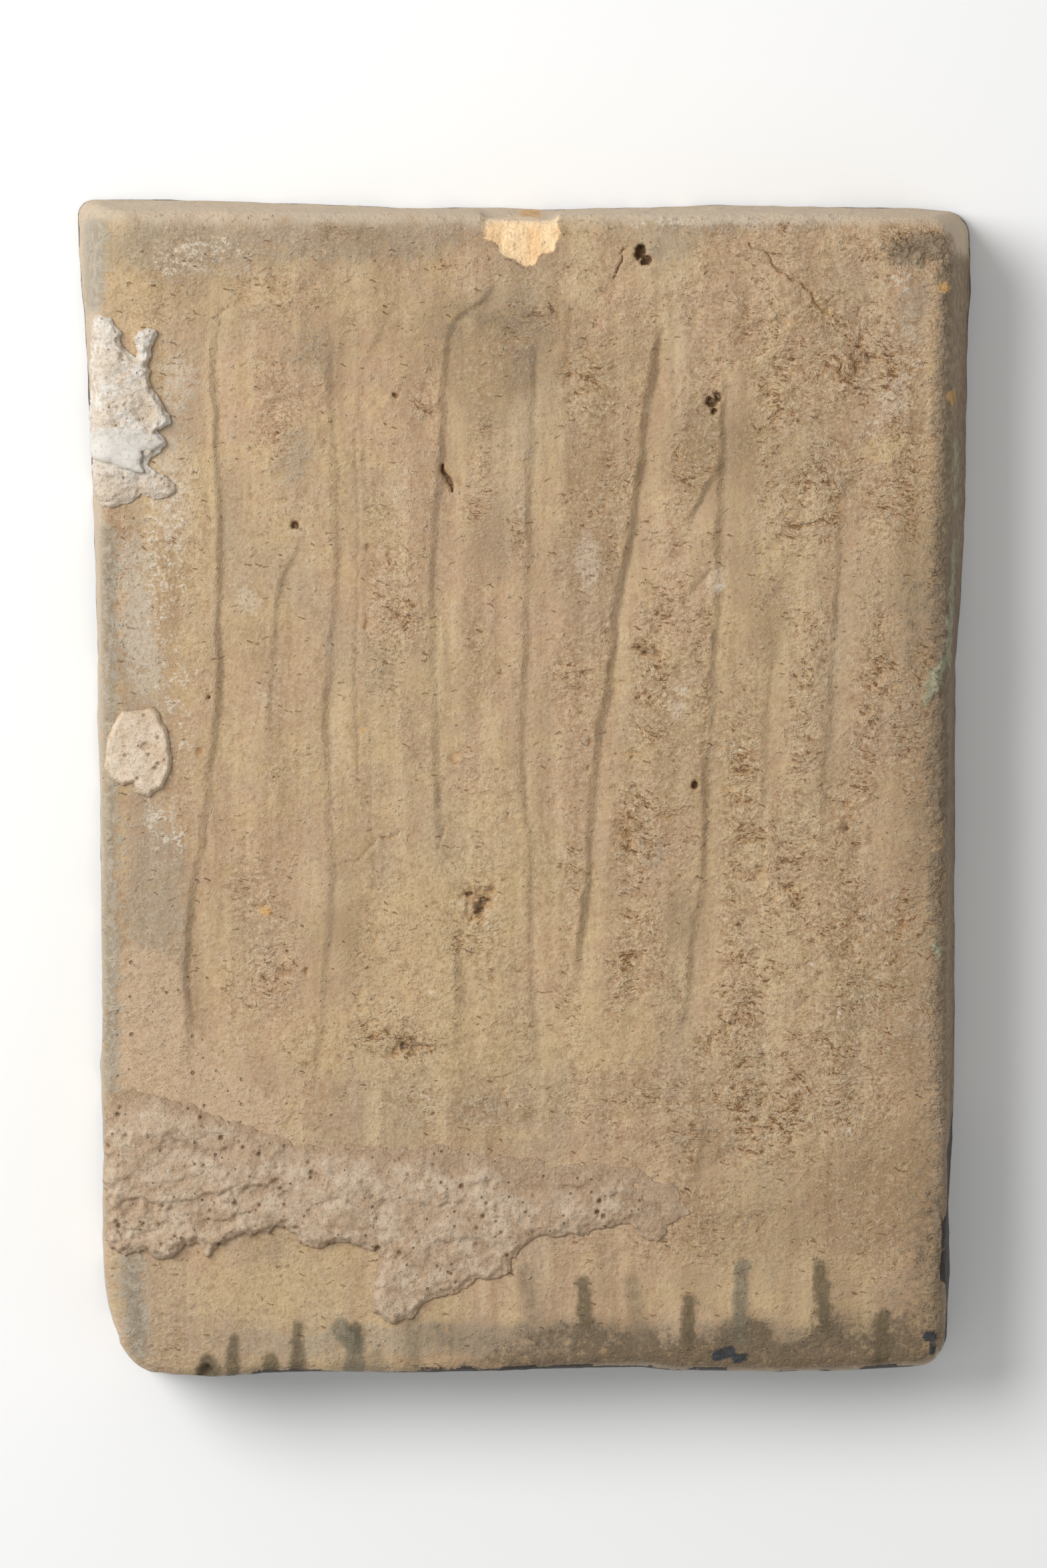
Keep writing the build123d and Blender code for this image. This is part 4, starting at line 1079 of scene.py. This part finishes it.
# The painted face is hidden in the photograph: a plain traditional border and rosette are a guess
faceFinish = {
    "colours": {
        "ground": (226, 222, 208), "groundShade": (214, 214, 202), "cobalt": (46, 70, 118),
        "turquoise": (82, 142, 140), "olive": (120, 118, 70), "crazing": (120, 104, 84), "wornClay": (186, 160, 124),
    },
    "halfSize": (121.0, 163.5),
    # lines along the border: distance from the edge, width, colour
    "border": [(9.0, 2.4, "cobalt"), (14.5, 1.0, "cobalt"), (27.0, 1.2, "cobalt"), (20.7, 6.0, "turquoise")],
    # the rosette: petals, reach, depth of the gaps, colour
    "rosette": [(8.0, 62.0, 20.0, "cobalt"), (8.0, 55.0, 18.0, "ground"), (8.0, 34.0, 9.0, "turquoise"),
                (16.0, 17.0, 3.0, "olive")],
    "ringRadius": 74.0,
}


def faceMaterial():
    material = beginMaterial("paintedFace")
    shades = coloursOf(faceFinish)
    place = surfacePlace()
    wobble, blotch, grain = noise(place, 4.0, 3.0), noise(place, 14.0, 4.0, 0.6), noise(place, 0.9, 3.0, 0.6)
    acrossX, alongY = addNode("SeparateXYZ", {"Vector": place}).outputs[:2]
    wave = timesPlus(wobble, 1.2, -0.6)
    fromSide, fromEnd = (minus(half, calc("ABSOLUTE", part))
                         for half, part in zip(faceFinish["halfSize"], (acrossX, alongY)))
    fromEdge = calc("ADD", calc("MINIMUM", fromSide, fromEnd), wave)
    paintShare = calc("MULTIPLY_ADD", blotch, 0.5, 0.55, clamp=True)
    wiring["body"] = tint(stepBetween(blotch, 0.35, 0.7), shades["ground"], shades["groundShade"])
    for inset, width, shade in faceFinish["border"]:
        away = calc("ABSOLUTE", minus(fromEdge, inset))
        layWhere(away, width * 0.6, width * 0.4, paintShare, shades[shade])
    # petals from the angle round the centre
    radius = calc("SQRT", calc("ADD", times(acrossX, acrossX), times(alongY, alongY)))
    angle = calc("ARCTAN2", alongY, acrossX)
    for petals, reach, depth, shade in faceFinish["rosette"]:
        petal = calc("ABSOLUTE", calc("COSINE", times(angle, petals / 2.0)))
        inside = calc("ADD", minus(timesPlus(petal, depth, reach - depth), radius), wave)
        layWhere(inside, -0.5, 0.5, paintShare, shades[shade])
    ring = calc("ABSOLUTE", minus(calc("ADD", radius, wave), faceFinish["ringRadius"]))
    layWhere(ring, 1.1, 0.6, paintShare, shades["olive"])
    # crazing, and wear that shows the clay
    cells = addNode("TexVoronoi", {"Vector": place, "Scale": 1.0 / 6.0}, feature="DISTANCE_TO_EDGE")
    craze = stepBetween(cells.outputs["Distance"], 0.022, 0.006)
    lay(times(craze, 0.45), shades["crazing"])
    worn = stepBetween(timesPlus(minus(blotch, 0.5), 9.0, fromEdge), 3.2, 1.2)
    lay(worn, shades["wornClay"])
    raised = timesPlus(craze, -0.04, timesPlus(grain, 0.03, times(blotch, 0.25)))
    return finishMaterial(material, timesPlus(worn, -0.2, raised), timesPlus(worn, 0.5, 0.32), 0.5)


def tileSurface(x, y):
    # points and normals of the tile's skin, where x runs on over the left arris and down the side
    radius, thickness = tileShape["arris"], tileShape["thickness"]
    edge = follow(tileShape["backLeft"], y)
    lastTurn = math.pi / 2.0 - np.arctan((edge - follow(tileShape["faceLeft"], y)) / thickness)
    past = np.maximum(edge + radius - x, 0.0)
    turn = np.minimum(past / radius, lastTurn)
    rest = np.maximum(past - radius * lastTurn, 0.0)
    pointX = np.where(past > 0.0, edge + radius - radius * np.sin(turn) - rest * np.cos(lastTurn), x)
    pointZ = thickness - radius * (1.0 - np.cos(turn)) - rest * np.sin(lastTurn)
    pointZ = pointZ + relief(pointX, y) * np.clip(1.0 - past / (radius * 1.2), 0.0, 1.0)
    return pointX, pointZ, -np.sin(turn), np.cos(turn)


def insideCrust(x, y, shape):
    wobbleX, wobbleY = (layered(x, y, (1.2, 4.6, seed), (0.9, 2.1, seed + 1), (0.45, 1.0, seed + 2))
                        for seed in (201, 204))
    return insideBy(x + shape["rag"] * wobbleX, y + shape["rag"] * wobbleY, shape["outline"])


def buildCrust(name, shape, heightOf, material):
    # a crust of mortar: a grid cut to its ragged outline, drawn down into the tile and closed below
    pitch, margin = shape["pitch"], 3.0
    (lowX, highX), (lowY, highY) = ((min(part) - margin, max(part) + margin) for part in zip(*shape["outline"]))
    startClean()
    bpy.ops.mesh.primitive_grid_add(x_subdivisions=int((highX - lowX) / pitch),
                                    y_subdivisions=int((highY - lowY) / pitch), size=1.0)
    crust = bpy.context.object
    crust.name = name
    x, y, z = readPoints(crust).T
    writePoints(crust, lowX + (x + 0.5) * (highX - lowX), lowY + (y + 0.5) * (highY - lowY), z)
    middles = faceMiddles(crust)
    editFaces(crust, insideCrust(middles[:, 0], middles[:, 1], shape) < 0.0)
    bpy.ops.mesh.delete(type="FACE")
    # loose islands at the ragged rim are cut away: only what hangs together with the middle stays
    bpy.ops.mesh.select_all(action="DESELECT")
    bpy.ops.object.mode_set(mode="OBJECT")
    middles = faceMiddles(crust)
    fromMiddle = np.hypot(middles[:, 0] - shape["middle"][0], middles[:, 1] - shape["middle"][1])
    crust.data.polygons[int(np.argmin(fromMiddle))].select = True
    bpy.ops.object.mode_set(mode="EDIT")
    bpy.ops.mesh.select_linked()
    bpy.ops.mesh.select_all(action="INVERT")
    bpy.ops.mesh.delete(type="FACE")
    # pinholes inside the outline are filled, so that the crust has one rim
    selectRim()
    bpy.ops.object.mode_set(mode="OBJECT")
    atRim = np.zeros(len(crust.data.vertices), bool)
    crust.data.vertices.foreach_get("select", atRim)
    # the stepped rim is drawn onto the ragged outline
    places = readPoints(crust)
    x, y = places[atRim, 0], places[atRim, 1]
    for turn in range(4):
        here = insideCrust(x, y, shape)
        slopeX = (insideCrust(x + 0.05, y, shape) - here) / 0.05
        slopeY = (insideCrust(x, y + 0.05, shape) - here) / 0.05
        steep = np.maximum(slopeX ** 2 + slopeY ** 2, 0.25)
        move = np.clip(here, -0.35 * pitch, 0.35 * pitch) / steep
        x, y = x - move * slopeX * 0.7, y - move * slopeY * 0.7
    limit = 0.45 * pitch
    places[atRim, 0] += np.clip(x - places[atRim, 0], -limit, limit)
    places[atRim, 1] += np.clip(y - places[atRim, 1], -limit, limit)
    writePoints(crust, *places.T)
    bpy.ops.object.mode_set(mode="EDIT")
    extrudeDown(1)
    x, y, z = readPoints(crust).T
    below = z < -0.5
    height, hollow, wearAndShade = heightOf(x, y, np.maximum(insideCrust(x, y, shape), 0.0))
    height = np.where(below, -shape["sunk"], height)
    pointX, pointZ, normalX, normalZ = tileSurface(x, y)
    pointX, pointZ = pointX + normalX * height, pointZ + normalZ * height
    pointZ = np.minimum(pointZ, cadBox[1].z / mm - 0.05)
    writePoints(crust, pointX * mm, y * mm, pointZ * mm)
    paint(crust, "hollow", np.where(below, 0.0, hollow))
    paint(crust, "wearAndShade", np.where(below, 0.0, wearAndShade))
    smoothAll(crust)
    crust.data.materials.append(material)
    print(name, len(crust.data.polygons), "faces")
    return crust


def ledgeDrop(x, y, points, drop, reach, seed):
    # a broken step across the crust: it falls sharply below the line, then fills up again
    start, end = points[0][0], points[-1][0]
    below = follow(points, x) + waved(x, (0.7, 4.0, seed), (0.4, 1.7, seed + 1)) - y
    fade = smoothStep(start - 2.0, start + 2.0, x) * (1.0 - smoothStep(end - 2.0, end + 2.0, x))
    return drop * fade * smoothStep(0.0, 0.8, below) * (1.0 - smoothStep(1.0, reach, below))


def poreDepth(x, y, pores):
    # round air holes scattered over a box
    draw = np.random.default_rng(pores["seed"])
    (lowX, lowY, highX, highY), (small, large) = pores["box"], pores["sizes"]
    depth = np.zeros(x.shape)
    for number in range(pores["count"]):
        holeX, holeY = draw.uniform(lowX, highX), draw.uniform(lowY, highY)
        radius = small + (large - small) * draw.random() ** 3.0
        away = np.hypot(x - holeX, y - holeY) / radius
        depth = np.maximum(depth, radius * 1.1 * (1.0 - smoothStep(0.5, 1.0, away)))
    return depth


# How far the crusts may rise over the tile, and how far their pores may cut in
crustTop = 3.9
crustLow = -0.6

bandShape = {
    "pitch": 0.42,
    "rag": 0.75,
    "sunk": 1.0,
    "middle": (-80, -108),
    "outline": [
        (-116, -83), (-108.5, -81.5), (-101, -83), (-94, -85.5), (-84.5, -89), (-75, -92.5), (-66.5, -95),
        (-65, -97), (-49, -97.5), (-24, -98), (-12, -100), (-3, -100.5), (8, -103), (20, -102), (32.5, -104.5),
        (41.5, -108), (46.5, -115.5), (43.5, -118), (38, -122.5), (34.5, -124.5), (32, -122.5), (29, -119),
        (23, -119.5), (16, -122.5), (9.5, -123.5), (3.5, -122), (-1, -126), (-4.5, -134), (-14, -135),
        (-16, -137.5), (-23, -140), (-28, -141.5), (-30.5, -144.5), (-36.5, -147), (-41.5, -144), (-42.5, -136),
        (-40, -129), (-42.5, -126.5), (-48, -124.5), (-53, -124), (-56.5, -126.5), (-61, -125.5), (-63.5, -122),
        (-66.5, -120), (-70, -121.5), (-80, -122.5), (-83, -125.5), (-87, -127), (-92.5, -124.5), (-99.5, -129),
        (-105.5, -127), (-112, -128), (-115, -126), (-116, -113), (-116, -94),
    ],
    "topLine": [
        (-116, -83), (-101, -83), (-84.5, -89), (-66.5, -95), (-49, -97.5), (-3, -100.5), (32.5, -104.5),
        (46.5, -113),
    ],
    # height of the crust along it
    "crown": [(-116, 2.5), (-88, 2.9), (-64, 2.6), (-42, 2.3), (-25, 1.8), (0, 1.35), (30, 1.35), (46, 1)],
    # broken steps: points, drop, reach
    "ledges": [
        ([(-112, -112), (-105.5, -110.5), (-101, -113), (-93.5, -111), (-84.5, -110), (-77, -107.5),
          (-67.5, -106.5), (-64, -108)], 1, 9),
        ([(-101, -96.5), (-97, -95), (-90, -96.5), (-84.5, -98.5), (-80.5, -95.5)], 0.6, 5),
        ([(-112.5, -119.5), (-103, -119), (-93.5, -118), (-84.5, -117), (-75, -115)], 0.7, 6),
        ([(-41.5, -113), (-34, -111), (-25, -113), (-15.5, -112)], 0.5, 5),
        ([(-27, -124), (-17.5, -122.5), (-8, -124)], 0.5, 5),
        ([(-56.5, -113), (-51, -111), (-45.5, -113)], 0.4, 4),
        ([(-15.5, -107.5), (-4.5, -106.5), (6.5, -108), (18, -107.5)], 0.4, 4),
        ([(21.5, -111), (29, -110), (38.5, -112)], 0.4, 4),
    ],
    "thin": 0.35,
    "pores": {"count": 420, "box": (-116, -147, 46, -82), "sizes": (0.30, 0.95), "seed": 219},
}


def bandHeight(x, y, inner):
    crown = follow(bandShape["crown"], x)
    fromTop = np.maximum(follow(bandShape["topLine"], x) - y, 0.0)
    thin = bandShape["thin"]
    body = thin + (crown - thin) * smoothStep(0.0, 13.0, fromTop + 2.0 * lumps(x, y, 9.0, 211))
    lumpy = layered(x, y, (0.42, 9.0, 212), (0.34, 4.2, 213), (0.22, 2.1, 214), (0.14, 1.2, 215))
    # crumbs and small terraces
    tier = 2.6 * (0.5 + 0.5 * lumps(x, y, 6.5, 216)) + 0.35 * lumps(x, y, 2.0, 217)
    tiers = np.floor(tier) + smoothStep(0.35, 0.65, tier - np.floor(tier))
    body = body + 0.34 * (tiers - 1.2) * smoothStep(0.5, 4.0, fromTop)
    dropped = np.zeros(x.shape)
    for number, (points, drop, reach) in enumerate(bandShape["ledges"]):
        dropped = np.maximum(dropped, ledgeDrop(x, y, points, drop, reach, 230 + 3 * number))
    rough = smoothStep(0.15, 0.8, dropped)
    crumbs = layered(x, y, (0.30, 1.6, 218), (0.22, 0.95, 208))
    broken = np.clip(rough + smoothStep(5.0, 0.5, inner) * smoothStep(4.0, 9.0, fromTop), 0.0, 1.0)
    body = body - dropped + (lumpy + crumbs * (0.35 + 1.3 * broken)) * (0.45 + 0.55 * smoothStep(0.0, 8.0, fromTop))
    edge = smoothStep(-0.2, 2.4, inner + 1.1 * lumps(x, y, 1.5, 209) * smoothStep(0.1, 1.4, inner))
    pores = poreDepth(x, y, bandShape["pores"])
    height = np.maximum(body, 0.22) * (0.30 + 0.70 * edge) - 0.8 * pores
    # painted shade for the pores and the low lumps of the broken parts; thin parts are worn darker
    hollow = np.clip(pores * 1.2 + 0.35 * smoothStep(0.1, -0.5, lumpy) * rough, 0.0, 1.0)
    wearAndShade = np.clip(0.9 * (1.0 - smoothStep(0.3, 1.6, height)), 0.0, 1.0)
    return np.clip(height, crustLow, crustTop), hollow, wearAndShade


upperShape = {
    "pitch": 0.32,
    "rag": 0.42,
    "sunk": 1.0,
    "middle": (-108, 110),
    "outline": [
        (-119.6, 133), (-115.7, 133.3), (-113.8, 132.2), (-112.6, 130.1), (-111.4, 128.1), (-111.5, 125.6),
        (-110.6, 123.9), (-108.6, 122.5), (-107, 121.1), (-106.5, 122.5), (-107.2, 126.7), (-105.8, 129.2),
        (-103.8, 129.9), (-101.3, 129.2), (-100.9, 127.9), (-102.1, 124.5), (-103.1, 121.1), (-103.6, 119.1),
        (-102.5, 117.7), (-103.4, 115.9), (-102.7, 113.2), (-101, 110.9), (-99.5, 107.7), (-98.2, 105.3),
        (-97.6, 103.2), (-99.3, 101.6), (-100.5, 100.5), (-98.9, 99), (-98.5, 97.1), (-100.6, 95.3), (-102.9, 93.9),
        (-103.1, 91.7), (-99.9, 89.4), (-96.8, 86.9), (-96.1, 84.3), (-98.7, 82.6), (-102.1, 82.1), (-104.9, 83.8),
        (-107.2, 82.1), (-109.5, 81.3), (-112.9, 80.6), (-116.3, 80.9), (-119, 82.1), (-124.5, 82), (-127.5, 86),
        (-126.5, 95), (-128, 104), (-127, 114), (-127.5, 126), (-124, 131.5),
    ],
    # height of the crust along it
    "crown": [(77, 1.3), (84, 1.5), (88, 1.6), (93, 2.3), (104, 2.6), (118, 2.5), (127, 2.1), (134, 1.9)],
    "pores": {"count": 95, "box": (-126, 77, -97, 112), "sizes": (0.25, 0.6), "seed": 246},
}


def upperHeight(x, y, inner):
    # the crust thins a little where it runs down the side
    crown = follow(upperShape["crown"], y) * (1.0 - 0.35 * smoothStep(-114.0, -120.0, x))
    lumpy = layered(x, y, (0.40, 8.0, 241), (0.30, 3.6, 242), (0.22, 1.9, 243))
    lumpy = lumpy + 0.24 * lumps(x * 0.7, y * 1.7, 1.9, 244) + 0.20 * lumps(x, y * 1.4, 1.0, 248)
    scooped = ovalAway(x, y, -104.5, 106.5, 3.4, 4.0) + 0.2 * lumps(x, y, 2.0, 245)
    scoop = 1.1 * (1.0 - smoothStep(0.4, 1.1, scooped))
    gully = 0.9 * (1.0 - smoothStep(0.3, 1.4, ovalAway(x, y, -105.5, 91.5, 1.6, 6.0)))
    pores = poreDepth(x, y, upperShape["pores"])
    edge = smoothStep(-0.1, 1.5, inner + 0.8 * lumps(x, y, 1.3, 249) * smoothStep(0.1, 1.0, inner))
    height = np.maximum(crown + lumpy - scoop - gully, 0.35) * (0.35 + 0.65 * edge) - 0.7 * pores
    deep = smoothStep(0.2, 0.9, scoop)
    # painted shade for the pores and the scoop between the lobes; the low end is worn darker
    hollow = np.clip(1.1 * pores + 0.45 * deep * smoothStep(0.2, -0.4, lumpy), 0.0, 1.0)
    lowEnd = smoothStep(92.0, 84.0, y + 2.0 * lumps(x, y, 4.0, 247))
    return np.clip(height, crustLow, crustTop), hollow, np.clip(lowEnd * 0.8 + 0.5 * deep, 0.0, 1.0)


plasterShape = {
    "pitch": 0.4,
    "rag": 0.42,
    "sunk": -0.9,
    "middle": (-110, 96),
    "outline": [
        (-119.4, 100.2), (-116.3, 101.9), (-111.7, 102.8), (-107.8, 101.9), (-103.2, 100.5), (-100.4, 99.8),
        (-98.9, 97.6), (-102.1, 96.2), (-105.4, 95.5), (-104.9, 93.4), (-104.7, 89.4), (-107.8, 90.3),
        (-111.7, 91.7), (-115.1, 92.8), (-118.3, 93.9),
    ],
    "level": 2.8,
}


def plasterHeight(x, y, inner):
    level = plasterShape["level"] + layered(x, y, (0.12, 7.0, 251), (0.05, 2.0, 252))
    height = level - 0.4 * (1.0 - smoothStep(-0.2, 0.9, inner))
    wearAndShade = (1.0 - smoothStep(0.2, 1.6, inner)) * 0.5
    return np.clip(height, 0.0, crustTop), np.zeros(x.shape), wearAndShade


middleShape = {
    "pitch": 0.34,
    "rag": 0.34,
    "sunk": 1.0,
    "middle": (-106, 12),
    "outline": [
        (-111, 23.5), (-105, 24), (-102, 25.5), (-100, 21), (-98, 15.5), (-97.5, 12), (-98, 7), (-100, 2.5),
        (-103.5, 0), (-106.5, 1.5), (-108, 4), (-111, 3), (-113, 4.5), (-115.5, 7.5), (-115.5, 14.5), (-114, 19.5),
    ],
    "level": 1.55,
    "pores": {"count": 34, "box": (-115, 0, -98, 25), "sizes": (0.3, 0.8), "seed": 264},
}


def middleHeight(x, y, inner):
    crown = middleShape["level"] + layered(x, y, (0.30, 8.0, 261), (0.20, 3.4, 262), (0.12, 1.6, 263))
    crown = crown + 0.35 * smoothStep(-112.0, -98.0, x)
    pores = poreDepth(x, y, middleShape["pores"])
    dent = 0.8 * (1.0 - smoothStep(0.4, 1.1, ovalAway(x, y, -104.6, 14.0, 1.6, 1.4)))
    edge = smoothStep(-0.1, 1.1, inner)
    height = np.maximum(crown - dent, 0.3) * (0.3 + 0.7 * edge) - 0.7 * pores
    # painted shade for the pores and the dent; the rim is worn darker
    return np.clip(height, -0.5, 3.0), np.clip(1.1 * pores + 0.5 * dent, 0.0, 1.0), (1.0 - edge) * 0.6


tile, rings = buildTile()
paintTile(tile, *shapeTile(tile, rings))
tile.data.materials.append(clayMaterial())
tile.data.materials.append(faceMaterial())
smoothAll(tile)
for face in tile.data.polygons:
    if face.normal.z < -0.9 and face.center.z < 0.3 * mm:
        face.material_index = 1
        face.use_smooth = False
print("tile shaped:", len(tile.data.polygons), "faces")

pieces = [(tile, "tile", "fired_clay")]
for name, shape, heightOf, finish, node, slotName in (
        ("mortarBand", bandShape, bandHeight, "settingMortar", "mortar_band", "setting_mortar"),
        ("mortarPatchUpper", upperShape, upperHeight, "upperMortar", "mortar_patch_upper", "setting_mortar"),
        ("plasterDab", plasterShape, plasterHeight, "whitePlaster", "plaster_dab", "white_plaster"),
        ("mortarPatchMiddle", middleShape, middleHeight, "middleMortar", "mortar_patch_middle", "setting_mortar")):
    pieces.append((buildCrust(name, shape, heightOf, mortarMaterial(finish)), node, slotName))
for piece, node, slotName in pieces:
    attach(piece, "root")
    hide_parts(node)
print("pieces placed")

# Floor, camera and soft studio light
studio = {
    "floor": (246, 246, 245),
    "floorSize": 6.0,
    "cameraDistance": 1.8,
    "cameraTilt": 4.0,
    "aim": 0.00104,
    "lens": 146.2,
    "worldStrength": 0.42,
    # lamps: power, size, place
    "keyLamp": (22.6, 1.0, (-1.0, 0.55, 1.15)),
    "fillLamp": (2.6, 1.6, (1.3, -0.6, 1.6)),
}

startClean()
bpy.ops.mesh.primitive_plane_add(size=studio["floorSize"], location=(0.0, 0.0, 0.0))
floor = bpy.context.object
floor.name = "floor"
floor.data.materials.append(beginMaterial("paleFloor"))
plug(wiring["shader"], {"Base Color": colour(*studio["floor"]), "Roughness": 0.9})

tilt, distance = math.radians(studio["cameraTilt"]), studio["cameraDistance"]
bpy.ops.object.camera_add(location=(0.0, studio["aim"] + distance * math.sin(tilt), distance * math.cos(tilt)),
                          rotation=(-tilt, 0.0, 0.0))
camera = bpy.context.object
camera.name = "studioCamera"
camera.data.lens = studio["lens"]
camera.data.sensor_width = 36.0
camera.data.sensor_fit = "AUTO"
camera.data.clip_start = 0.05
bpy.context.scene.camera = camera

for name in ("keyLamp", "fillLamp"):
    power, size, place = studio[name]
    bpy.ops.object.light_add(type="AREA", location=place)
    lamp = bpy.context.object
    lamp.name = name
    lamp.data.shape = "DISK"
    lamp.data.size = size
    lamp.data.energy = power
    lamp.rotation_euler = (lamp.location * -1.0).to_track_quat("-Z", "Y").to_euler()

# plain colour handling, as the photograph has
bpy.context.scene.view_settings.view_transform = "Standard"
world = bpy.data.worlds.new("studioWorld")
world.use_nodes = True
background = world.node_tree.nodes["Background"].inputs
background["Color"].default_value = (1.0, 1.0, 1.0, 1.0)
background["Strength"].default_value = studio["worldStrength"]
bpy.context.scene.world = world
print("studio set")
